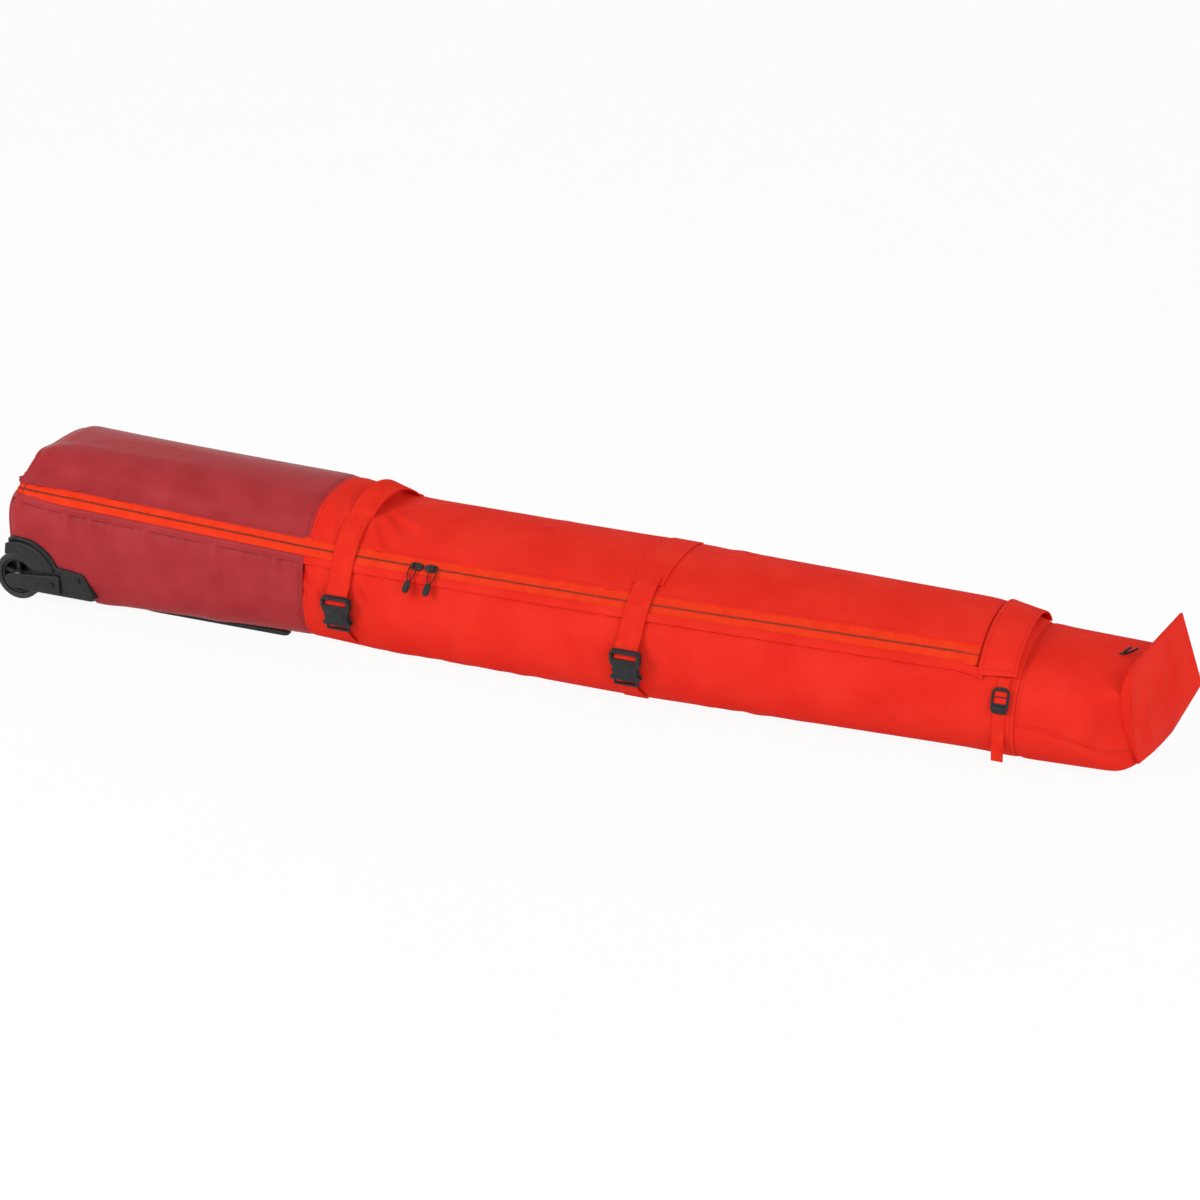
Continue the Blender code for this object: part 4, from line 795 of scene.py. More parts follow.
# End panel of the tail. A stiffened nylon flap that stands against the sleeve's open end, with a
# pleated gusset turned back along its near edge, and folds down about the seam at its foot.
FLAP_FAR = 0.139
FLAP_FAR_IN_LOW = 0.044
FLAP_FAR_IN_TOP = 0.006
FLAP_CORNER_UP = 0.37
FLAP_BULGE = 0.033
FLAP_PROUD = 0.005
GUSSET_WIDTH = 0.019
FLAP_FOOT_Z = 0.008
flap_along = np.array([math.sin(FLAP_YAW), math.cos(FLAP_YAW), 0])
flap_lean = np.array([-math.tan(FLAP_LEAN), 0, 1])
flap_up = flap_lean - flap_along * flap_lean.dot(flap_along)
flap_up = flap_up / np.linalg.norm(flap_up)
flap_out = np.cross(flap_along, flap_up)
flap_foot = np.array([flap_plane_x(0, FLAP_FOOT_Z), 0, FLAP_FOOT_Z]) + flap_out * 0.0006


def flap_point(across, up, proud=0.0):
    """A point of the end panel from its shares across and up; its far corner stands out."""
    below = np.minimum(up / FLAP_CORNER_UP, 1)
    above = np.maximum((up - FLAP_CORNER_UP) / (1 - FLAP_CORNER_UP), 0)
    low = -FLAP_NEAR + FLAP_FOOT * (1 - up) ** 2
    high = FLAP_FAR - FLAP_FAR_IN_LOW * (1 - below) - FLAP_FAR_IN_TOP * above
    swell = FLAP_BULGE * across ** 1.5 * np.minimum(below, 1 - above)
    return (flap_foot + np.multiply.outer(low + (high - low) * across, flap_along)
            + np.multiply.outer(up * FLAP_HEIGHT, flap_up)
            + np.multiply.outer(swell + proud, flap_out))


FLAP_NEAR_RISE = 0.07
shares_up, shares_across = np.meshgrid(np.linspace(1, 0, 41), np.linspace(0, 1, 49), indexing="ij")
shares_up = shares_up + FLAP_NEAR_RISE * (1 - shares_across) ** 2 * (1 - shares_up) ** 3
flap_points = flap_point(shares_across, shares_up, FLAP_PROUD)
flap_points = set_folds(flap_points, lambda across, up: flap_point(across, up, FLAP_PROUD), (
    (0.30, 0.92, 0.22, 0.35, 0.012, 0.0022), (0.52, 0.95, 0.50, 0.45, 0.014, 0.0020),
    (0.10, 0.60, 0.40, 0.12, 0.011, 0.0030), (0.70, 0.80, 0.74, 0.35, 0.014, 0.0018)))
sewn_panel("tail_flap", flap_points, NYLON, "tail_flap", "nylon", NYLON)

gusset_up = np.linspace(FLAP_NEAR_RISE + 0.01, 0.985, 40)
gusset_deep = GUSSET_WIDTH * np.sin(math.pi * gusset_up ** 1.6)
gusset_back, gusset_out = np.array([(0, 0), (0.10, 0.0020), (0.30, 0.0030), (0.46, 0.0010),
                                    (0.60, 0.0030), (0.85, 0.0022), (1, 0)]).T
gusset_points = (flap_point(np.zeros(40), gusset_up, FLAP_PROUD - 0.001)[:, None]
                 - np.multiply.outer(np.multiply.outer(gusset_deep, gusset_back), flap_out)
                 - np.multiply.outer(np.multiply.outer(np.sin(math.pi * gusset_up) ** 0.5,
                                                       gusset_out), flap_along))
sewn_panel("tail_gusset", gusset_points, NYLON, "tail_flap", "nylon", NYLON, wall=0.0012)

# Foot of the end panel. A strip of the same nylon, sewn to the sleeve's floor and to the
# panel's inner face.
foot_across = np.linspace(0.10, 0.97, 30)
foot_rise = FLAP_NEAR_RISE * (1 - foot_across) ** 2
foot_y = flap_point(foot_across, foot_rise)[:, 1]
foot_rows = [to_flap(np.stack([np.full(30, TAIL_END_X - back), foot_y, np.full(30, z)], -1))
             for back, z in ((0.016, 0.0058), (0.008, 0.0058), (0.001, 0.0062))]
foot_rows += [flap_point(foot_across, foot_rise + up, FLAP_PROUD - 0.0050) for up in (0.03, 0.06)]
foot = grid_piece("tail_flap_foot_cloth", np.stack(foot_rows), (NYLON, NYLON))
cloth_wall(foot, 0.0012)
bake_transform(foot)

# Lid. The tarpaulin top of the wheel end and the nylon top of the front, sewn together across
# the waist, padded, and hinged on the cloth of the far side.
LID_SWEEP = 0.012
SHOULDER_CENTRE = 0.15

# height, place across and width of the shoulder, the slope below it and the far edge
SHOULDERS = ((0.0095, -0.066, 0.026), (-0.0065, -0.114, 0.018), (0.0020, 0.080, 0.030))


def shouldered(points):
    """The lid's top made flatter over a plain slope to the zip, most at the wheel end."""
    x, y, z = points[..., 0], points[..., 1], points[..., 2] - SHOULDER_CENTRE
    rise = sum(height * np.exp(-((y - place) / width) ** 2) for height, place, width in SHOULDERS)
    rise = rise * np.interp(x, (LID_X, WAIST_X, WAIST_X + 0.35), (1, 0.35, 0)) / np.hypot(y, z)
    return points + np.stack([0 * x, y, z], -1) * rise[..., None]


def swept(points):
    """The foot of the lid's near end drawn out over the ledge, so that its end wall slopes."""
    x, y, z = points[..., 0], points[..., 1], points[..., 2]
    out = np.clip((0.246 - z) / 0.030, 0, 1) * np.clip((0.050 - y) / 0.080, 0, 1)
    out = LID_SWEEP * out * np.exp(-np.maximum(x - LID_X, 0) / 0.020)
    return points - np.stack([out, 0 * out, 0 * out], -1)


def lid_hinge_u(x):
    return hinge_u(x, LID_SHAPE)


def lid_edge(points):
    """The folded edge along the zip, which lies on the tape."""
    _, _, from_low, _ = edge_distances(points)
    return points + grid_normals(points) * (0.0014 * np.exp(-(from_low / 0.008) ** 2))[..., None]


lid_points = sewn_in(loft(LID_X, WAIST_X, lid_low, lid_hinge_u, shape=LID_SHAPE), "eh")
lid_points = lid_edge(shouldered(lid_points))
lid_points = gathers(lid_points, "l", 51, 0.034, 0.0020, 0.035)
lid_points = swept(gathers(lid_points, "l", 53, 0.030, 0.0052, 0.032, until=0.30))
lid_rear = sewn_panel("lid_rear", lid_points, TARPAULIN, "lid", "tarpaulin",
                      filling=(0.004, 1.0, 0.004))

lid_points = sewn_in(loft(WAIST_X, LID_END_X - 0.0005, lid_low, lid_hinge_u, shape=LID_SHAPE),
                     "sh")
lid_points = gathers(lid_edge(shouldered(lid_points)), "l", 61, 0.040, 0.0014, 0.035)
lid_points = set_folds(lid_points, skin, (
    (-0.335, 2.72, -0.300, 2.45, 0.007, 0.0060), (-0.330, 2.82, -0.265, 2.56, 0.008, 0.0064),
    (-0.325, 2.90, -0.235, 2.72, 0.009, 0.0056), (-0.418, 2.82, -0.400, 2.52, 0.007, 0.0050),
    (-0.405, 2.70, -0.394, 2.42, 0.006, 0.0040), (0.110, 2.62, 0.150, 2.40, 0.010, 0.0032)))
lid_points = creased(lid_points, 63, 36, 0.0022)
lid_front = sewn_panel("lid_front", lid_points, NYLON, "lid", "nylon", filling=FRONT_FILLING,
                       held=pressed(lid_points) > 0.5)

LID_WALL_Z = 0.2175
LID_WALL_X = LID_X - 0.0064
LID_WALL_ROUND = 0.004
low_u = float(crown_u(LID_X, LID_WALL_Z, LID_SHAPE))
rim = shouldered(ring_at(LID_X, LID_SHAPE, low_u, 6 - low_u))
middle = np.stack([np.full(len(rim), LID_X), rim[:, 1] * 0.9,
                   np.full(len(rim), LID_WALL_Z)], -1)
sewn_panel("lid_end_wall", swept(end_panel(rim, LID_WALL_X, LID_WALL_ROUND, middle)[::-1]),
           TARPAULIN, "lid", "tarpaulin", TARPAULIN, wall=WALL_THICK)

# Hinge of the lid. A strip of the same cloth sewn to the far side below and the lid above.
HINGE_STRIP = 0.014
for label, start, end, cloth, slot in (("rear", LID_X, WAIST_X, TARPAULIN, "tarpaulin"),
                                       ("front", WAIST_X, LID_END_X, NYLON, "nylon")):
    points = loft(start, end, lambda x: stepped_u(x, hinge_u(x), -HINGE_STRIP),
                  lambda x: stepped_u(x, hinge_u(x), HINGE_STRIP), 0.006)
    points = points - grid_normals(points) * 0.0030
    strip = grid_piece("hinge_cloth_" + label, points, (cloth, LINING))
    cloth_wall(strip, 0.002, 0)
    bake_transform(strip)

# Zip. Woven orange-red tapes sewn under the edges of the side and the lid, a welt over the lower
# seam, and half of the nylon coil on the edge of each tape.


def ribbed_tape(name, low, high, pitch):
    """Woven polyester: soft ribs across the tape, matt and a little uneven in colour."""
    material, tree, shader, coords, _ = mottled(
        name, low, high, 0.020, 3.0, {"Roughness": 0.7, "Specular IOR Level": 0.02})
    bumped(tree, shader, (weave(tree, coords["UV"], pitch, 1.5 * pitch, 0.6, 3.0), 0.3, 0.0005))
    return material


ZIP_TAPE = ribbed_tape("woven_zip_tape", "#E4341A", "#EA3E20", 0.0012)
TILT_UP = np.array([0, math.sin(TAPE_TILT), math.cos(TAPE_TILT)])
TILT_OUT = np.array([0, -math.cos(TAPE_TILT), math.sin(TAPE_TILT)])
zip_knots = []
for x, half, top, drop, power, _, _ in STATIONS[3:9]:
    rise = (top - drop - WIDEST_Z) / (top - WIDEST_Z)
    zip_knots.append((x, -half * (1 - rise ** power) ** (1 / power), top - drop))
zip_knots = np.array(zip_knots)
ZIP_Y = eased(np.interp(FINE_X, zip_knots[:, 0], zip_knots[:, 1]), 6)
ZIP_Z = eased(np.interp(FINE_X, zip_knots[:, 0], zip_knots[:, 2]), 6)


def zip_line(x):
    return np.stack([x, np.interp(x, FINE_X, ZIP_Y), np.interp(x, FINE_X, ZIP_Z)], -1)


ZIP_START = LID_X + 0.0006
ZIP_END = LID_END_X - 0.0006
TAPE_THICK = 0.0014
TAPE_TUCK = 0.003
zip_x = np.linspace(ZIP_START, ZIP_END, 300)
reach = -np.multiply.outer(tape_shown(zip_x) + TAPE_TUCK, np.linspace(1, -0.08, 7))
tape_points = swept(zip_line(zip_x)[:, None] + reach[..., None] * TILT_UP)
sewn_panel("zip_tape_lower", tape_points, ZIP_TAPE, "base", "zip_tape", ZIP_TAPE, TAPE_THICK, 0)

upper_edge = above_zip(-0.0012)
tape_points = loft(ZIP_START, ZIP_END, upper_edge,
                   lambda x: above_zip(tape_shown(x) + 0.004)(x), 0.006, LID_SHAPE)
sewn_panel("zip_tape_upper", swept(shouldered(tape_points)), ZIP_TAPE, "lid", "zip_tape", ZIP_TAPE,
           TAPE_THICK, 0)

end_y = np.linspace(0.110, -0.100, 60)
end_z = np.linspace(LID_WALL_Z - 0.0060, LID_WALL_Z + 0.0050, 7)
tape_points = np.stack(np.broadcast_arrays(LID_WALL_X - 0.0034, end_y[:, None], end_z), -1)
sewn_panel("zip_tape_end", swept(tape_points), ZIP_TAPE, "lid", "zip_tape", ZIP_TAPE, 0.0010, 0)

# share across, height: rounded edges and a hollow along each of the two stitch rows
WELT_PROFILE = np.array([(0, 0.0006), (0.04, 0.0016), (0.11, 0.0022), (0.17, 0.0012),
                         (0.23, 0.0023), (0.50, 0.0027), (0.77, 0.0023), (0.83, 0.0012),
                         (0.89, 0.0022), (0.96, 0.0017), (1, 0.0008)])
welts = {}
for label, start, end, cloth, slot in (("rear", REAR_X + 0.004, WAIST_X, TARPAULIN, "tarpaulin"),
                                       ("front", WAIST_X, LID_END_X + 0.012, NYLON, "nylon")):
    points = loft(start, end, welt_low, welt_high, 0.006, shares=WELT_PROFILE[:, 0])
    points = points + grid_normals(points) * WELT_PROFILE[:, 1, None]
    welts[label] = grid_piece("zip_welt_" + label, points, (cloth, LINING))
    cloth_wall(welts[label], 0.0022)
    attach(welts[label], "base", slot)

# Coil of the zip. Two spirals of nylon monofilament, one woven along the edge of each tape; each
# turn is one small grain, set along the tape's edge by Geometry Nodes.


def row_of_copies():
    """A tree that sets copies of a shape along a path, or on its bare points."""
    tree = bpy.data.node_groups.new("row_of_copies", "GeometryNodeTree")
    for key, kind in (("Geometry", "Geometry"), ("Shape", "Object"), ("Pitch", "Float"),
                      ("Follow Path", "Bool"), ("Finish", "Material")):
        tree.interface.new_socket(key, in_out="INPUT", socket_type="NodeSocket" + kind)
    tree.interface.new_socket("Geometry", in_out="OUTPUT", socket_type="NodeSocketGeometry")
    given = add(tree, "NodeGroupInput").outputs
    path = add(tree, "GeometryNodeMeshToCurve", {"Mesh": given["Geometry"]})
    even = add(tree, "GeometryNodeResampleCurve", {"Curve": path.outputs["Curve"],
                                                   "Length": given["Pitch"]}, mode="LENGTH")
    spots = add(tree, "GeometryNodeSwitch", {"Switch": given["Follow Path"],
                                             "False": given["Geometry"],
                                             "True": even.outputs["Curve"]},
                input_type="GEOMETRY")
    along, out = [add(tree, "GeometryNodeInputNamedAttribute", {"Name": key},
                      data_type="FLOAT_VECTOR").outputs["Attribute"] for key in ("along", "out")]
    turn = add(tree, "FunctionNodeAxesToRotation", {"Primary Axis": out, "Secondary Axis": along},
               primary_axis="Z", secondary_axis="X")
    shape = add(tree, "GeometryNodeObjectInfo", {"Object": given["Shape"]})
    placed_copies = add(tree, "GeometryNodeInstanceOnPoints",
                        {"Points": spots.outputs["Output"], "Instance": shape.outputs["Geometry"],
                         "Rotation": turn.outputs["Rotation"]})
    real = add(tree, "GeometryNodeRealizeInstances",
               {"Geometry": placed_copies.outputs["Instances"]})
    finished = add(tree, "GeometryNodeSetMaterial", {"Geometry": real.outputs["Geometry"],
                                                     "Material": given["Finish"]})
    add(tree, "NodeGroupOutput", {"Geometry": finished.outputs["Geometry"]})
    return tree


ROW_OF_COPIES = row_of_copies()


def baked(guide):
    """The finished mesh of a guide, which is taken away with its modifiers."""
    bpy.context.view_layer.update()
    mesh = bpy.data.meshes.new_from_object(
        guide.evaluated_get(bpy.context.evaluated_depsgraph_get()))
    guide.modifiers.clear()
    bpy.data.objects.remove(guide, do_unlink=True)
    return mesh


def copies(name, rows, shape, material, pitch=0.0):
    """Copies of a shape on rows of points, as one plain mesh; a row is points, along and out."""
    mesh = bpy.data.meshes.new(name)
    points, along, out = [np.concatenate(part) for part in zip(*rows)]
    edges, start = [], 0
    for row in rows:
        if pitch:
            edges += [(start + k, start + k + 1) for k in range(len(row[0]) - 1)]
        start += len(row[0])
    mesh.from_pydata(points.tolist(), edges, [])
    for key, values in (("along", along), ("out", out)):
        layer = mesh.attributes.new(key, "FLOAT_VECTOR", "POINT")
        layer.data.foreach_set("vector", values.astype(np.float32).ravel())
    guide = linked(name + "_guide", mesh)
    repeat = guide.modifiers.new("row_of_copies", "NODES")
    repeat.node_group = ROW_OF_COPIES
    keys = {item.name: item.identifier for item in ROW_OF_COPIES.interface.items_tree
            if item.in_out == "INPUT"}
    settings = {"Shape": shape, "Pitch": pitch, "Follow Path": bool(pitch), "Finish": material}
    for key, value in settings.items():
        repeat[keys[key]] = value
    result = baked(guide)
    result.name = name
    result.materials.clear()
    result.shade_smooth()
    return linked(name, result, material)


def ring_faces(index):
    """Faces between closed rings of points, from the numbers of their points."""
    ahead = np.roll(index, -1, axis=1)
    return np.stack([index[:-1], ahead[:-1], ahead[1:], index[1:]], -1).reshape(-1, 4).tolist()


def rounded_grain(name, length, width, height):
    """A small egg of a few dozen faces: one stitch, or one turn of a coil."""
    sides, bands = 6, 5
    turn = np.linspace(math.pi, 0, bands + 1)[1:-1, None]
    around = np.linspace(0, 2 * math.pi, sides, endpoint=False)
    rings = np.stack(np.broadcast_arrays(np.cos(turn), np.sin(turn) * np.cos(around),
                                         np.sin(turn) * np.sin(around)), -1)
    points = np.concatenate([rings.reshape(-1, 3), [(-1, 0, 0), (1, 0, 0)]])
    index = np.arange(sides * (bands - 1)).reshape(bands - 1, sides)
    front, back = index.size, index.size + 1
    faces = ring_faces(index)
    faces += [(front, b, a) for a, b in zip(index[0].tolist(), np.roll(index[0], -1).tolist())]
    faces += [(back, a, b) for a, b in zip(index[-1].tolist(), np.roll(index[-1], -1).tolist())]
    mesh = bpy.data.meshes.new(name)
    mesh.from_pydata((points * (length / 2, width / 2, height / 2)).tolist(), [], faces)
    return bpy.data.objects.new(name, mesh)


def moulded_nylon(name, low, high, rough):
    """Nylon or acetal as it comes from the mould: softly satin, faintly grained."""
    material, tree, shader, coords, _ = mottled(
        name, low, high, 0.010, 3.0, {"Roughness": rough, "IOR": 1.5, "Specular IOR Level": 0.2})
    bumped(tree, shader, (noise(tree, coords["Object"], 0.0006), 0.15, 0.0002))
    return material


COIL = moulded_nylon("spun_nylon_coil", "#94402F", "#A44A38", 0.5)
PLASTIC = moulded_nylon("moulded_acetal", "#222123", "#2C2B2D", 0.42)
COIL_PITCH = 0.0017
COIL_LIFT = 0.0004
tooth = rounded_grain("coil_turn", 0.0011, 0.0024, 0.0015)
coil_x = np.linspace(ZIP_START, ZIP_END, 400)
upper_row = np.array([skin(x, upper_edge(x), LID_SHAPE) for x in coil_x])
for label, body, row in (("lower", "base", swept(zip_line(coil_x))),
                         ("upper", "lid", swept(shouldered(upper_row)))):
    turns = (row + TILT_OUT * COIL_LIFT, unit(np.gradient(row, axis=0)),
             np.broadcast_to(TILT_OUT, row.shape))
    attach(copies("zip_coil_" + label, [turns], tooth, COIL, COIL_PITCH), body, "zip_tape")

# Stitching. Bonded polyester thread a shade darker than the cloth, in rows along the lid's edge,
# the welt, the seam across the waist and the seams of the tail; sunk a little into the cloth.


def spun_thread(name, low, high):
    """Twisted polyester thread: matt, its colour a little uneven from stitch to stitch."""
    return mottled(name, low, high, 0.004, 2.0, {"Roughness": 0.7, "Specular IOR Level": 0.2})[0]


STITCH_PITCH = 0.0042
stitch = rounded_grain("stitch", 0.0034, 0.0010, 0.0008)
RED_THREAD = spun_thread("red_thread", "#A8180F", "#B82016")
DARK_THREAD = spun_thread("dark_red_thread", "#701A1D", "#7E2225")


def laid_on(obj, line):
    """A line moved onto a finished piece, with the ways along it and out of the cloth."""
    surface = BVHTree.FromObject(obj, bpy.context.evaluated_depsgraph_get())
    found = [surface.find_nearest(point) for point in line.tolist()]
    spots = np.array([place for place, _, _, _ in found])
    out = np.array([normal for _, normal, _, _ in found])
    return spots, unit(np.gradient(spots, axis=0)), out


def sew(name, obj, lines, body, slot):
    """Rows of stitches on a piece, dark on the tarpaulin."""
    thread = DARK_THREAD if slot == "tarpaulin" else RED_THREAD
    rows = [laid_on(obj, line) for line in lines]
    return attach(copies(name, rows, stitch, thread, STITCH_PITCH), body, slot)


def along_bag(start, end, around, shape=TRAY_SHAPE):
    x = np.arange(start, end, 0.008)
    return skin(x, np.array([around(place) for place in x]), shape)


def round_bag(x, low, high, shape=TRAY_SHAPE):
    return skin(x, np.linspace(low(x), high(x), 60), shape)


def welt_row(share):
    return lambda x: welt_low(x) + (welt_high(x) - welt_low(x)) * share


def lid_row(x):
    return above_zip(tape_shown(x) + 0.0045)(x)


SEAM = 0.0065
sew("lid_rear_stitches", lid_rear,
    [along_bag(LID_X + 0.010, WAIST_X - 0.004, lid_row, LID_SHAPE),
     round_bag(WAIST_X - SEAM, lid_row, lid_hinge_u, LID_SHAPE)], "lid", "tarpaulin")
sew("lid_front_stitches", lid_front,
    [along_bag(WAIST_X + 0.004, LID_END_X - 0.004, lid_row, LID_SHAPE),
     round_bag(WAIST_X + SEAM, lid_row, lid_hinge_u, LID_SHAPE)], "lid", "nylon")
sew("rear_side_stitches", rear_near, [round_bag(WAIST_X - SEAM, floor_u, side_high)], "base",
    "tarpaulin")
sew("front_side_stitches", front_near,
    [round_bag(x, floor_u, side_high) for x in (WAIST_X + SEAM, TAIL_X - SEAM)], "base", "nylon")
for label, start, end, slot in (("rear", REAR_X + 0.010, WAIST_X - 0.003, "tarpaulin"),
                                ("front", WAIST_X + 0.003, LID_END_X, "nylon")):
    sew("welt_%s_stitches" % label, welts[label],
        [along_bag(start, end, welt_row(share)) for share in (0.17, 0.83)], "base", slot)
sew("tail_stitches", tail_upper,
    [to_flap(round_bag(TAIL_X + SEAM, tail_seam_u, far_tail_seam_u)),
     to_flap(along_bag(TAIL_X + 0.004, TAIL_END_X - 0.004,
                       lambda x: stepped_u(x, tail_seam_u(x), SEAM)))], "base", "nylon")

# Sliders and pulls. Two moulded sliders meet on the coil, each with a loop of thin cord through
# its bail and a moulded tip on the loop.


def mesh_piece(name, builder, material, sharp=35):
    """A mesh piece from a finished builder, smooth but for its sharp edges."""
    bmesh.ops.recalc_face_normals(builder, faces=builder.faces)
    mesh = bpy.data.meshes.new(name)
    builder.to_mesh(mesh)
    builder.free()
    mesh.shade_smooth()
    mesh.set_sharp_from_angle(angle=math.radians(sharp))
    return linked(name, mesh, material)


def moulded(node, body, ease):
    """A copy of a CAD node's mesh in its place, its flats joined up and its edges eased."""
    builder = bmesh.new()
    builder.from_mesh(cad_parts[node].data)
    bmesh.ops.remove_doubles(builder, verts=builder.verts, dist=0.00001)
    bmesh.ops.dissolve_limit(builder, angle_limit=math.radians(1), verts=builder.verts,
                             edges=builder.edges)
    made = mesh_piece(node + "_moulded", builder, PLASTIC)
    rounder = made.modifiers.new("eased_edges", "BEVEL")
    rounder.width = ease
    rounder.segments = 3
    rounder.limit_method = "ANGLE"
    rounder.angle_limit = math.radians(35)
    rounder.harden_normals = True
    return attach(made, body, "plastic", node)


def from_curve(name, lines, closed, material, place, **settings):
    """A mesh piece from a curve: flat outlines with some thickness, or tubes along paths."""
    shape = bpy.data.curves.new(name, "CURVE")
    for key, value in settings.items():
        setattr(shape, key, value)
    for line in lines:
        spline = shape.splines.new("POLY")
        spline.points.add(len(line) - 1)
        for point, spot in zip(spline.points, line):
            point.co = (*spot, 1)
        spline.use_cyclic_u = closed
    mesh = baked(linked(name, shape))
    builder = bmesh.new()
    builder.from_mesh(mesh)
    bpy.data.meshes.remove(mesh)
    bmesh.ops.remove_doubles(builder, verts=builder.verts, dist=0.00001)
    builder.transform(place)
    return mesh_piece(name, builder, material)


def moulding(name, outlines, thickness, ease, place, height=0.0):
    """A flat moulding from its outline and holes, its edges eased, its middle over a frame."""
    lines = []
    for number, outline in enumerate(outlines):
        outline = np.asarray(outline, float)
        ahead = np.roll(outline, -1, axis=0)
        turning = (outline[:, 0] * ahead[:, 1] - outline[:, 1] * ahead[:, 0]).sum()
        outline = outline if (turning > 0) == (number == 0) else outline[::-1]
        lines.append(np.column_stack([outline, np.zeros(len(outline))]))
    return from_curve(name, lines, True, PLASTIC, place @ Matrix.Translation((0, 0, height)),
                      dimensions="2D", fill_mode="BOTH", extrude=thickness / 2 - ease,
                      bevel_depth=ease, bevel_resolution=2, offset=-ease)


def tube(name, path, radius, material, place=Matrix(), closed=False):
    """A wire or a cord along a path."""
    return from_curve(name, [path], closed, material, place, dimensions="3D", bevel_depth=radius,
                      bevel_resolution=3, use_fill_caps=not closed)


def eased_corners(outline, radius, steps=5):
    """A closed outline whose corners are rounded from a radius before them."""
    outline = np.asarray(outline, float)
    made = []
    for before, corner, after in zip(np.roll(outline, 1, 0), outline, np.roll(outline, -1, 0)):
        start = corner + (before - corner) * min(0.49, radius / np.linalg.norm(before - corner))
        end = corner + (after - corner) * min(0.49, radius / np.linalg.norm(after - corner))
        for share in np.linspace(0, 1, steps):
            made.append(start * (1 - share) ** 2 + corner * 2 * share * (1 - share)
                        + end * share ** 2)
    return np.array(made)


def both_sides(half):
    """A closed outline from its right half, listed upwards."""
    half = np.asarray(half, float)
    return np.concatenate([half, half[::-1] * (-1, 1)])


def placed(origin, across, up):
    """A frame on the bag: x across, y up and z out."""
    columns = np.stack([across, up, np.cross(across, up), origin], 1)
    return Matrix(np.vstack([columns, (0, 0, 0, 1)]).tolist())


def assembled(stem, pieces, body):
    """Several closed shapes as one moulding, in place of its CAD node."""
    builder = bmesh.new()
    for piece in pieces:
        builder.from_mesh(piece.data)
        bpy.data.objects.remove(piece, do_unlink=True)
    return attach(mesh_piece(stem + "_moulded", builder, PLASTIC), body, "plastic", stem)


def smooth_path(points, count, closed=False):
    """A curve through points, as a fine row."""
    points = np.asarray(points, float)
    ends = (points[-1:], points[:2]) if closed else (points[:1], points[-1:])
    padded = np.concatenate([ends[0], points, ends[1]])
    made = []
    for a, b, c, d in zip(padded[:-3], padded[1:-2], padded[2:-1], padded[3:]):
        for t in np.arange(count) / count:
            made.append(0.5 * (2 * b + (c - a) * t + (2 * a - 5 * b + 4 * c - d) * t ** 2
                               + (3 * b - a - 3 * c + d) * t ** 3))
    return np.array(made if closed else made + [points[-1]])


# from the pull's end of a slider to the end that meets the other slider
SLIDER_OUTLINE = eased_corners(both_sides([(0.0042, -0.0060), (0.0064, -0.0035), (0.0070, 0.0060),
                                           (0.0064, 0.0130), (0.0044, 0.0170)])[:, ::-1], 0.0020)
BAIL_PATH = [(0, -0.0042, 0.0025), (0, -0.0042, 0.0055), (0, -0.0022, 0.0074), (0, 0.0022, 0.0074),
             (0, 0.0042, 0.0055), (0, 0.0042, 0.0025)]
BAIL_RADIUS = 0.0012
PULL_CORD = 0.0012
PULL_LOOP = [(-0.0030, 0.0004), (0.0030, 0.0004), (0.0060, -0.0035), (0.0068, -0.0110),
             (0.0055, -0.0195), (0.0026, -0.0275), (0.0018, -0.0330), (-0.0018, -0.0330),
             (-0.0026, -0.0275), (-0.0055, -0.0195), (-0.0068, -0.0110), (-0.0060, -0.0035)]
TIP_HALF = [(0.0032, -0.0505), (0.0056, -0.0470), (0.0062, -0.0400), (0.0052, -0.0305),
            (0.0032, -0.0270)]
DARK_CORD = spun_thread("braided_pull_cord", "#4A1C1C", "#5C2422")
PULL_PIVOTS = {"rear": (-0.230558, -0.13514, 0.184428), "front": (-0.192558, -0.135524, 0.184774)}
for label, pivot in PULL_PIVOTS.items():
    before, after = zip_line(np.array([pivot[0] - 0.01, pivot[0] + 0.01]))
    along = unit(after - before)
    tape_up = np.cross(unit(np.cross(along, TILT_UP)), along)
    seat = placed(zip_line(np.array(pivot[0])), along, tape_up)
    plan = SLIDER_OUTLINE * (1 if label == "rear" else -1, 1)
    assembled("slider_" + label, [
        moulding("top", [plan], 0.0036, 0.0012, seat, 0.0023),
        moulding("under", [plan], 0.0016, 0.0005, seat, -0.0026),
        tube("bail", smooth_path(BAIL_PATH, 4), BAIL_RADIUS, PLASTIC, seat)], "slider_" + label)
    hung = placed(pivot, along, tape_up) @ Matrix.Rotation(math.radians(-5), 4, "X")
    loop = smooth_path([(x, y, 0) for x, y in PULL_LOOP], 5, closed=True)
    cord = tube("pull_%s_cord" % label, loop, PULL_CORD, DARK_CORD, hung, closed=True)
    attach(cord, "pull_" + label, "webbing")
    tip = moulding("pull_%s_tip" % label, [eased_corners(both_sides(TIP_HALF), 0.002)], 0.0056,
                   0.0022, hung)
    attach(tip, "pull_" + label, "plastic", "pull_" + label)

# Straps, bands and handles. Red polyester webbing, folded and box-stitched to the lid; the grab
# handle stands clear of the bag between its ends, and the wide band at the tail is doubled cloth.
WEB = 0.0020
WEB_HALF = 0.020
STRAP_LIFT = 0.0032
WEBBING = ribbed_tape("woven_webbing", "#DC2A1C", "#E43222", 0.0020)


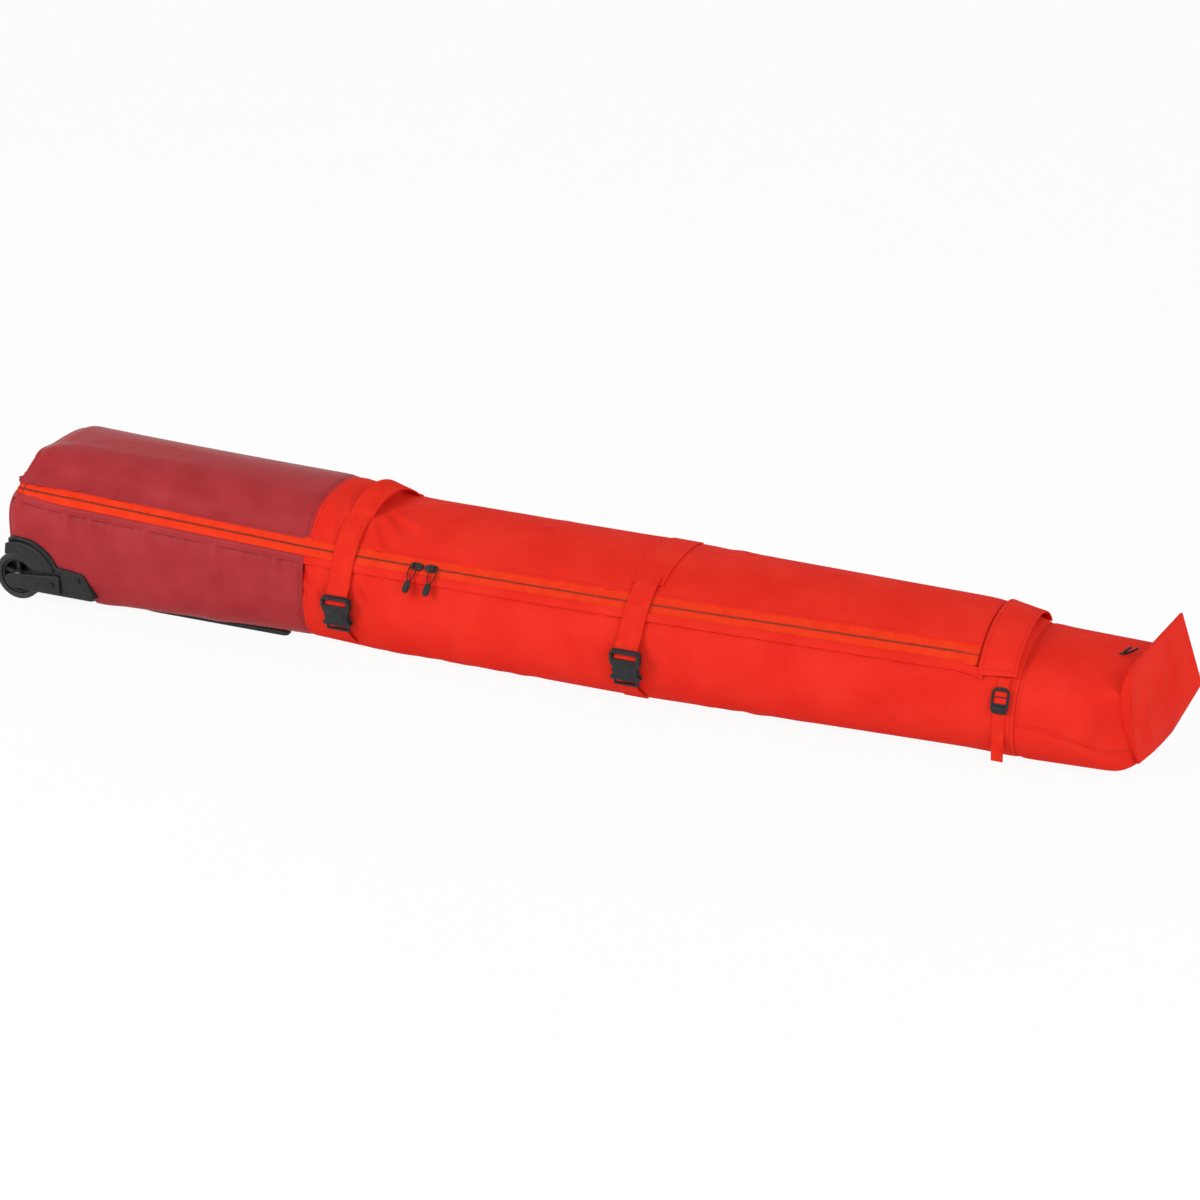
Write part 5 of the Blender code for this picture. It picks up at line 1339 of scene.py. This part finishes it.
def lifted(x, u, height):
    """Points above the outside, with the way out of it."""
    x, u, height = np.broadcast_arrays(np.asarray(x, float), u, height)
    step = skin(x, u + 0.004) - skin(x, u - 0.004)
    out = unit(np.stack([0 * x, -step[..., 2], step[..., 1]], -1))
    return skin(x, u) + out * height[..., None], out


STRIP_HALF = [(-1, 0.25), (-0.985, 0.7), (-0.95, 1), (-0.5, 1), (0, 1), (0.5, 1), (0.95, 1),
              (0.985, 0.7), (1, 0.25)]


def woven_strip(name, left, right, thickness, material, body, slot, node):
    """A closed flat band between two edge lines, with thin selvedges, in place of a CAD node."""
    middle, across = (left + right) / 2, (right - left) / 2
    along = unit(np.gradient(middle, axis=0))
    out = unit(np.cross(unit(across), along))
    ring = STRIP_HALF + [(s, -h) for s, h in reversed(STRIP_HALF)]
    rows = np.stack([middle + across * s + out * (h * thickness / 2) for s, h in ring], 1)
    count, size = rows.shape[:2]
    index = np.arange(count * size).reshape(count, size)
    faces = ring_faces(index) + [index[0][::-1].tolist(), index[-1].tolist()]
    mesh = bpy.data.meshes.new(name)
    mesh.from_pydata(rows.reshape(-1, 3).tolist(), [], faces)
    half = np.linalg.norm(across, axis=1)
    set_uv(mesh, np.stack([np.repeat(run_along(middle)[:, None], size, 1),
                           half[:, None] * np.array([s for s, _ in ring])], -1))
    builder = bmesh.new()
    builder.from_mesh(mesh)
    bmesh.ops.recalc_face_normals(builder, faces=builder.faces)
    builder.to_mesh(mesh)
    builder.free()
    mesh.shade_smooth()
    mesh.set_sharp_from_angle(angle=math.radians(50))
    return attach(linked(name, mesh, material), body, slot, node)


def softened(path, step, turns):
    """A path with even steps and its corners eased."""
    run = run_along(path)
    even = np.linspace(0, run[-1], max(int(run[-1] / step), 4))
    path = np.stack([np.interp(even, run, path[:, k]) for k in range(3)], -1)
    for _ in range(turns):
        path[1:-1] = 0.25 * path[:-2] + 0.5 * path[1:-1] + 0.25 * path[2:]
    return path


# the middle of each buckle's mouth, the way up it, and the strap's end below the top
BUCKLES = {
    "1": (np.array([STRAP_1_X, -0.163313, 0.071]), np.array([0, -0.140095, 0.990138]), 0.010),
    "2": (np.array([STRAP_2_X, -0.184587, 0.076]), np.array([0, -0.118851, 0.992912]), 0.010),
}
BUCKLE_LENGTH = 0.052
SLOT_LOW = 0.037
SLOT_HIGH = 0.0475
for label, (mouth, up, top_drop) in BUCKLES.items():
    x = mouth[0]
    out = np.cross((1, 0, 0), up)
    hook = [mouth + up * v + out * w for v, w in
            ((SLOT_LOW - 0.003, 0.0075), (SLOT_LOW + 0.002, 0.0085), (SLOT_LOW + 0.005, 0.0070),
             (SLOT_HIGH, 0.0015), (BUCKLE_LENGTH, -0.0014), (BUCKLE_LENGTH + 0.004, -0.0014))]
    low_z = (mouth + up * (BUCKLE_LENGTH + 0.016))[2]
    sides = []
    for edge in (x - WEB_HALF, x + WEB_HALF):
        top = section(edge, LID_SHAPE)[1] - top_drop
        u = np.linspace(crown_u(edge, low_z), crown_u(edge, top), 40)
        line, _ = lifted(edge, u, STRAP_LIFT + WEB / 2)
        lead = np.array(hook) * (0, 1, 1) + (edge, 0, 0)
        sides.append(softened(np.concatenate([lead, line]), 0.003, 3))
    count = min(len(sides[0]), len(sides[1]))
    strap = woven_strip("strap_%s_webbing" % label, sides[0][:count], sides[1][:count], WEB,
                        WEBBING, "lid", "webbing", "strap_" + label)
    end_z = section(x, LID_SHAPE)[1] - top_drop
    rows = [skin(edge, crown_u(edge, np.linspace(end_z - 0.012, end_z - 0.001, 8), LID_SHAPE))
            for edge in (x - 0.8 * WEB_HALF, x + 0.8 * WEB_HALF)]
    across = np.linspace(x - 0.8 * WEB_HALF, x + 0.8 * WEB_HALF, 12)
    rows += [skin(across, crown_u(across, end_z - drop)) for drop in (0.001, 0.012)]
    sew("strap_%s_stitches" % label, strap, rows, "lid", "webbing")


def over_crown(start, end, low_z, lift, rises, flat=0.0, slant=0.0):
    """The two edges of a band over the top, flat and sewn at its ends and raised between them.

    A slanted band runs further along the bag at its far end.
    """
    edges = []
    share = np.linspace(0, 1, 60)
    bow = np.sin(math.pi * np.clip((share - flat) / (1 - 2 * flat), 0, 1)) ** 0.9
    for x, rise in zip((start, end), rises):
        low = crown_u(x, low_z)
        edges.append(lifted(x + slant * share, low + (6 - 2 * low) * share, lift + rise * bow)[0])
    return edges


grip_z = section(STRAP_1_X, LID_SHAPE)[1] - 0.017
left, right = over_crown(STRAP_1_X - WEB_HALF, STRAP_1_X + WEB_HALF, grip_z, 0.0016,
                         (0.024, 0.020), 0.06, 0.030)
woven_strip("grab_handle_webbing", left, right, 0.0030, WEBBING, "lid", "webbing", "grab_handle")

band_z = section(STRAP_2_X, LID_SHAPE)[1] - 0.016
left, right = over_crown(STRAP_2_X - 0.028, STRAP_2_X + 0.028, band_z, 0.0014, (0, 0))
woven_strip("lid_band_cloth", left, right, 0.0018, NYLON, "lid", "nylon", "lid_band")

band_end_x = BAND_START_X + 0.060
fall = float(section(BAND_START_X, TRAY_SHAPE)[1] - section(band_end_x, TRAY_SHAPE)[1]) - 0.011
left, right = over_crown(BAND_START_X, band_end_x, 0.158, 0.0030, (0.003, 0.003 + fall))
handle_band = woven_strip("handle_band_cloth", left, right, 0.0030, NYLON, "base", "nylon",
                          "handle_band")
band_rows = [left[3:-3] * (1 - share) + right[3:-3] * share for share in (0.09, 0.91)]
band_rows += [np.linspace(left[k], right[k], 14)[1:-1] for k in (2, -3)]
sew("handle_band_stitches", handle_band, band_rows, "base", "nylon")

# Adjuster of the tail. A narrow webbing from under the wide band, over the bar of a moulded ladder
# lock; its loose end hangs past the bottom of the bag.
ADJUSTER_X = TAIL_X - 0.024
ADJUSTER_HALF = 0.010
LOCK_Z = 0.127
BAR_LIFT = 0.0056
heights = np.linspace(0.156, 0.094, 40)
line, _ = lifted(ADJUSTER_X, crown_u(ADJUSTER_X, heights),
                 np.interp(heights, (0.119, 0.123, 0.139, 0.145),
                           (0.0016, BAR_LIFT, BAR_LIFT, 0.0020)))
hang = np.array([(ADJUSTER_X, line[-1, 1] + 0.006 * share ** 2, line[-1, 2] - 0.075 * share)
                 for share in np.linspace(0.1, 1, 12)])
path = softened(np.concatenate([line, hang]), 0.002, 4)
woven_strip("adjuster_webbing", path - (ADJUSTER_HALF, 0, 0), path + (ADJUSTER_HALF, 0, 0), 0.0014,
            WEBBING, "base", "webbing", "adjuster_web")

lock_at, lock_out = lifted(ADJUSTER_X, crown_u(ADJUSTER_X, LOCK_Z), 0.0)
lock_seat = placed(lock_at, (1, 0, 0), np.cross(lock_out, (1, 0, 0)))


def rectangle(half_width, low, high):
    return both_sides([(half_width, low), (half_width, high)])


assembled("ladder_lock", [
    moulding("frame", [eased_corners(rectangle(0.0145, -0.021, 0.021), 0.011),
                       eased_corners(rectangle(0.0108, -0.0100, 0.0145), 0.003)],
             0.0044, 0.0014, lock_seat, 0.0050),
    moulding("middle", [rectangle(0.0115, 0.0044, 0.0060)], 0.0014, 0.0005, lock_seat, 0.0068),
    # The lower bar is painted shade: a dark plate in front of the webbing where it dives under the
    # lock, standing in for the shadow there.
    moulding("lower", [rectangle(0.0115, -0.0105, -0.0048)], 0.0014, 0.0005, lock_seat, 0.0042),
    moulding("lip", [eased_corners(rectangle(0.0135, -0.0225, -0.0105), 0.007)], 0.0032, 0.0014,
             lock_seat @ Matrix.Translation((0, -0.0006, 0.0076))
             @ Matrix.Rotation(math.radians(16), 4, "X"))], "base")

# Buckles. Moulded side-release halves: the slotted female hangs on the strap, and the plug with
# its two sprung arms is held by a sewn tab.
BUCKLE_THICK = 0.012
BUCKLE_FACE = 0.0032
BUCKLE_BACK = 0.0022
BODY_START = 0.0225
FEMALE_HALF = [(0.0220, -0.0030), (0.0262, -0.0020), (0.0270, 0.0005), (0.0262, 0.0040),
               (0.0220, 0.0075), (0.0206, 0.0130), (0.0218, 0.0200), (0.0252, 0.0250),
               (0.0270, 0.0330), (0.0270, 0.0460), (0.0255, 0.0500), (0.0215, 0.0520)]
BODY_HALF = [(0.0222, BODY_START), (0.0252, 0.0250), (0.0268, 0.0330), (0.0268, 0.0460),
             (0.0252, 0.0498), (0.0213, 0.0518)]
for label, (mouth, up, _) in BUCKLES.items():
    seat = placed(mouth, (1, 0, 0), up)
    whole = eased_corners(both_sides(FEMALE_HALF), 0.0030)
    body = eased_corners(both_sides(BODY_HALF), 0.0030)
    slot = eased_corners(rectangle(0.0212, SLOT_LOW, SLOT_HIGH), 0.002)
    panel = eased_corners(rectangle(0.0135, 0.0060, 0.0320), 0.005)
    assembled("buckle_female_" + label, [
        moulding("face", [whole, slot], BUCKLE_FACE, 0.0014, seat, BUCKLE_THICK - BUCKLE_FACE / 2),
        moulding("back", [whole, slot], BUCKLE_BACK, 0.0008, seat, BUCKLE_BACK / 2),
        moulding("body", [body, slot], 0.0090, 0.0010, seat, BUCKLE_THICK / 2),
        moulding("panel", [panel], 0.0012, 0.0005, seat, BUCKLE_THICK)], "lid")
    moulded("buckle_male_" + label, "base", 0.0009)
    for arm in ("arm_%s_rear" % label, "arm_%s_front" % label):
        moulded("buckle_" + arm, arm, 0.0008)
    out = np.cross((1, 0, 0), up)
    foot, _ = lifted(mouth[0], np.array(1.45), 0.0020)
    top = mouth + up * -0.0146 + out * 0.006
    path = softened(np.array([top, (top * 0.55 + foot * 0.45) + out * 0.002, foot]), 0.003, 8)
    spread = np.linspace(0.0165, 0.022, len(path))[:, None] * np.array((1, 0, 0))
    woven_strip("buckle_tab_%s_webbing" % label, path + spread, path - spread, WEB, WEBBING,
                "base", "webbing", "buckle_tab_" + label)

# Hook of the tail. A small moulded hook screwed to the sleeve's top, which a cord would be looped
# over; its short prong turns back over its shank.
HOOK_Y = -0.008
HOOK_RADIUS = 0.0021
SHANK = [(0.957, 0.1800), (0.964, 0.1815), (0.972, 0.1850), (0.980, 0.1900), (0.986, 0.1950)]
PRONG = [(0.964, 0.1815), (0.9650, 0.1850), (0.9690, 0.1895), (0.9750, 0.1945)]
hook_paths = [smooth_path([(x, HOOK_Y, z) for x, z in line], 5) for line in (SHANK, PRONG)]
assembled("tail_hook", [tube("hook", path, HOOK_RADIUS, PLASTIC) for path in hook_paths], "base")

# Wheels, housings and skids. Two cast tyres on five-spoked hubs run in moulded arches, which are
# screwed to the stiffener; each axle is held outside by an arm, and skids run on behind.


def cast_rubber():
    """Polyurethane tyre: black, matt, its tread scuffed grey."""
    material, tree, shader, _, scuff = mottled(
        "cast_polyurethane", "#1D1D1E", "#2C2C2D", 0.006, 5.0, {"Roughness": 0.65}, 0.35, 0.75)
    bumped(tree, shader, (scuff, 0.2, 0.0004))
    return material


def finished_steel(name, low, high, rough):
    """Steel with a tumbled finish: a fine, even haze over the bare or blackened metal."""
    return mottled(name, low, high, 0.002, 3.0, {"Metallic": 1.0, "Roughness": rough})[0]


def turned(name, profile, place, material):
    """A closed profile of radius and width, turned once round the frame's z."""
    segments = 64
    profile = np.asarray(profile, float)
    turns = np.linspace(0, 2 * math.pi, segments, endpoint=False)
    rings = np.stack([np.multiply.outer(np.cos(turns), profile[:, 0]),
                      np.multiply.outer(np.sin(turns), profile[:, 0]),
                      np.broadcast_to(profile[:, 1], (segments, len(profile)))], -1)
    index = np.arange(rings.shape[0] * rings.shape[1]).reshape(rings.shape[:2])
    ahead = np.roll(index, -1, axis=0)
    faces = np.stack([index, ahead, np.roll(ahead, -1, axis=1), np.roll(index, -1, axis=1)], -1)
    mesh = bpy.data.meshes.new(name)
    mesh.from_pydata(rings.reshape(-1, 3).tolist(), [], faces.reshape(-1, 4).tolist())
    builder = bmesh.new()
    builder.from_mesh(mesh)
    bpy.data.meshes.remove(mesh)
    builder.transform(place)
    return mesh_piece(name, builder, material, 40)


def arc(centre, radius, start_deg, end_deg, count):
    turns = np.radians(np.linspace(start_deg, end_deg, count))
    return np.stack([centre[0] + radius * np.cos(turns), centre[1] + radius * np.sin(turns)], -1)


def meets_x(centre, radius, x):
    """The angle at which the upper half of a circle passes an x."""
    return math.degrees(math.acos((x - centre[0]) / radius))


def both_flanks(half):
    """A closed profile of radius and width from its half beyond the middle."""
    half = np.asarray(half, float)
    return np.concatenate([half, half[::-1] * (1, -1)])


WHEEL_AT = (0.005, 0.0449)
WHEEL_Y = 0.149
WELL_RADIUS = 0.0499
WELL_WALL = 0.005
WELL_FOOT = 0.0125
HOUSING_LEFT = -0.0084
HOUSING_FLOOR = 0.027
ARCH_END_DEG = 24
PLATE_TIP_Z = 0.034
REAR_CORNER = 0.022
FENDER = 0.0045
FENDER_IN = 0.0075
FENDER_END_DEG = 18
COVER = (0.1764, 0.1824)
COVER_END = WHEEL_AT[0] + 0.100
COVER_TOP = WHEEL_AT[1] + 0.024
COVER_FOOT = WHEEL_AT[1] - 0.014
TYRE_HALF = [(0.0449, 0.0028), (0.0441, 0.0032), (0.0441, 0.0042), (0.0449, 0.0046),
             (0.0449, 0.0062), (0.0446, 0.0095), (0.0436, 0.0122), (0.0412, 0.0138),
             (0.0370, 0.0138), (0.0337, 0.0124)]
RIM_HALF = [(0.0334, 0.0090), (0.0326, 0.0100), (0.0298, 0.0100), (0.0286, 0.0088)]
BOSS_HALF = [(0.0115, 0.0088), (0.0105, 0.0100), (0.0080, 0.0100), (0.0078, 0.0096)]
SPOKE = [(0.0105, -0.0046), (0.0292, -0.0032), (0.0292, 0.0032), (0.0105, 0.0046)]
SPOKES = 5
HUB_WEB = 0.0080
RUBBER = cast_rubber()
STEEL = finished_steel("zinc_plated_steel", "#8C8D90", "#A3A4A6", 0.35)
BLACK_STEEL = finished_steel("black_oxide_steel", "#2E2E30", "#3C3C3E", 0.45)
well_left = meets_x(WHEEL_AT, WELL_RADIUS, HOUSING_LEFT)
well_right = math.degrees(math.asin((HOUSING_FLOOR - WHEEL_AT[1]) / WELL_RADIUS))
well_arc = arc(WHEEL_AT, WELL_RADIUS, well_right, well_left, 40)
arch_left = meets_x(ARCH_AT, ARCH_RADIUS, HOUSING_LEFT)
housing_loop = np.concatenate([
    arc(ARCH_AT, ARCH_RADIUS, arch_left, ARCH_END_DEG, 32),
    eased_corners([(0.120, 0.0800), PLATE_SHOULDER, (PLATE_END, PLATE_TIP_Z),
                   (PLATE_END - 0.004, HOUSING_FLOOR), (0.120, HOUSING_FLOOR)], 0.006)[5:-5],
    well_arc])
well_loop = np.concatenate([well_arc, [
    (HOUSING_LEFT, WELL_FOOT), (PLATE_END - 0.004, WELL_FOOT),
    (PLATE_END - 0.004, HOUSING_FLOOR + 0.004), (well_arc[0, 0] + 0.005, HOUSING_FLOOR + 0.004)]])
fender_top = arc(ARCH_AT, ARCH_RADIUS - FENDER_IN, arch_left - 2, FENDER_END_DEG, 32)
fender_foot = math.degrees(math.asin((fender_top[-1, 1] - WHEEL_AT[1]) / (WELL_RADIUS + 0.001)))
fender_loop = np.concatenate([
    fender_top, arc(WHEEL_AT, WELL_RADIUS + 0.001, fender_foot, well_left - 3, 32)])
cover_loop = np.concatenate([
    arc(WHEEL_AT, 0.013, 270, 90, 20),
    eased_corners([(WHEEL_AT[0] + 0.02, COVER_TOP - 0.008), (COVER_END, COVER_TOP),
                   (COVER_END, COVER_FOOT), (WHEEL_AT[0] + 0.02, COVER_FOOT)], 0.006)[5:-5]])


def beside_wheel(sign, out):
    """The frame of a piece at one side of the wheel end, its middle so far out."""
    return placed((REAR_X, sign * out, 0), (1, 0, 0), (0, 0, 1))


def rounded_rear(piece):
    """The upright rear corner of a housing rounded in plan."""
    centre = Vector((REAR_X + HOUSING_LEFT + REAR_CORNER, HOUSING_OUT - REAR_CORNER))
    for vertex in piece.data.vertices:
        side = math.copysign(1, vertex.co.y)
        apart = Vector((vertex.co.x, abs(vertex.co.y))) - centre
        if apart.x < 0 < apart.y and apart.length > REAR_CORNER:
            spot = centre + apart.normalized() * REAR_CORNER
            vertex.co.x, vertex.co.y = spot.x, side * spot.y


for side, sign in (("near", -1), ("far", 1)):
    shell = moulding("shell", [housing_loop], HOUSING_OUT - HOUSING_IN, 0.0020,
                     beside_wheel(sign, (HOUSING_OUT + HOUSING_IN) / 2))
    rounded_rear(shell)
    wall = moulding("wall", [well_loop], WELL_WALL, 0.0005,
                    beside_wheel(sign, HOUSING_IN + WELL_WALL / 2))
    fender = moulding("fender", [fender_loop], FENDER + 0.004, 0.0022,
                      beside_wheel(sign, HOUSING_OUT + FENDER / 2 - 0.002))
    assembled("wheel_housing_" + side, [shell, wall, fender], "base")
    cover = moulding("axle_cover_%s_moulded" % side, [cover_loop], COVER[1] - COVER[0], 0.0020,
                     beside_wheel(sign, sum(COVER) / 2))
    attach(cover, "base", "plastic", "axle_cover_" + side)
    centre = np.array((REAR_X + WHEEL_AT[0], sign * WHEEL_Y, WHEEL_AT[1]))
    axle = placed(centre, (1, 0, 0), (0, 0, 1))
    web = [(0.0295, -0.0008), (0.0295, 0.0008), (0.0100, 0.0008), (0.0100, -0.0008)]
    assembled("wheel_hub_" + side, [
        turned("rim", both_flanks(RIM_HALF), axle, PLASTIC),
        turned("boss", both_flanks(BOSS_HALF), axle, PLASTIC),
        turned("web", [(r, sign * HUB_WEB + w) for r, w in web], axle, PLASTIC)], "wheel_" + side)
    spoke = moulding("spoke", [SPOKE], 0.013, 0.0012, Matrix())
    turns = np.radians(90 + 360 / SPOKES * np.arange(SPOKES))
    ways = np.stack([np.cos(turns), 0 * turns, np.sin(turns)], -1)
    spokes = copies("wheel_spokes_" + side,
                    [(np.tile(centre, (SPOKES, 1)), ways, np.tile((0, -1, 0), (SPOKES, 1)))],
                    spoke, PLASTIC)
    bpy.data.objects.remove(spoke, do_unlink=True)
    attach(spokes, "wheel_" + side, "plastic")
    tyre = turned("tyre_%s_cast" % side, both_flanks(TYRE_HALF), axle, RUBBER)
    attach(tyre, "wheel_" + side, "tyre", "tyre_" + side)
    low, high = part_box("skid_" + side)
    skid_plan = [(low[0], low[1] + 0.005), (low[0] + 0.03, low[1]), (high[0], low[1]),
                 (high[0], high[1]), (low[0] + 0.03, high[1]), (low[0], high[1] - 0.005)]
    skid = moulding("skid_%s_moulded" % side, [eased_corners(skid_plan, 0.010)], high[2] - low[2],
                    0.0030, Matrix(), (low[2] + high[2]) / 2)
    attach(skid, "base", "plastic", "skid_" + side)
    for node in ("wheel_bearing_", "wheel_axle_"):
        refinish(node + side, STEEL)
    for node in ("screw_plate_", "screw_cover_"):
        refinish(node + side, BLACK_STEEL)

# Room, light and camera. White studio paper under the bag, two soft boxes in front and an even
# white surround; the camera stands where the photograph was taken from.
WHITE = (1, 1, 1, 1)
PAPER_HALF = 12
PAPER_Z = -0.0005
PAPER_WHITE = 0.93
SURROUND = 0.68


def seen_by(tree):
    """1 for what the camera sees, straight or in a glossy or clear surface."""
    path = add(tree, "ShaderNodeLightPath").outputs
    mirror = add(tree, "ShaderNodeMath", {0: path["Is Camera Ray"], 1: path["Is Glossy Ray"]},
                 operation="MAXIMUM")
    return add(tree, "ShaderNodeMath", {0: mirror.outputs["Value"],
                                        1: path["Is Transmission Ray"]},
               operation="MAXIMUM").outputs["Value"]


def studio_paper():
    """Matt white studio paper, shown as white behind the bag with its shadow kept."""
    material, tree, shader, _, _ = mottled("studio_paper", "#F4F4F4", "#F7F7F7", 0.3, 2.0,
                                           {"Roughness": 0.9})
    white = add(tree, "ShaderNodeEmission", {"Color": WHITE, "Strength": 1.0})
    share = add(tree, "ShaderNodeMath", {0: seen_by(tree), 1: PAPER_WHITE}, operation="MULTIPLY")
    mixed = add(tree, "ShaderNodeMixShader", {0: share.outputs["Value"], 1: shader.outputs["BSDF"],
                                              2: white.outputs["Emission"]})
    tree.links.new(mixed.outputs["Shader"], tree.nodes["Material Output"].inputs["Surface"])
    return material


ground = bpy.data.meshes.new("studio_floor")
ground.from_pydata([(x * PAPER_HALF, y * PAPER_HALF, PAPER_Z)
                    for x, y in ((-1, -1), (1, -1), (1, 1), (-1, 1))], [], [(0, 1, 2, 3)])
linked("studio_floor", ground, studio_paper())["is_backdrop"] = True

world = bpy.data.worlds.new("studio")
world.use_nodes = True
sky = world.node_tree
backdrop = sky.nodes["Background"]
backdrop.inputs["Color"].default_value = WHITE
level = add(sky, "ShaderNodeMapRange", {"Value": seen_by(sky), "To Min": SURROUND, "To Max": 1.0})
sky.links.new(level.outputs["Result"], backdrop.inputs["Strength"])
scene.world = world


def aimed(name, data, place, target):
    """A light or a camera at a place, turned to a target."""
    obj = linked(name, data)
    obj.location = place
    obj.rotation_euler = (Vector(target) - Vector(place)).to_track_quat("-Z", "Y").to_euler()
    return obj


for name, place, target, size, power in (
        ("key_softbox", (-2.4, -2.9, 2.3), (0, 0, 0.1), 1.8, 64),
        ("fill_softbox", (3.0, -2.0, 1.9), (0.3, 0, 0.1), 2.0, 36)):
    light = bpy.data.lights.new(name, "AREA")
    light.shape = "DISK"
    light.size = size
    light.energy = power
    aimed(name, light, place, target)

lens = bpy.data.cameras.new("camera")
lens.sensor_width = 36
lens.lens = 87.93
lens.clip_end = 60
scene.camera = aimed("camera", lens, (1.7951, -4.2302, 2.199), (0.0567, 0, 0.1148))
scene.view_settings.view_transform = "Standard"

low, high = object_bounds()
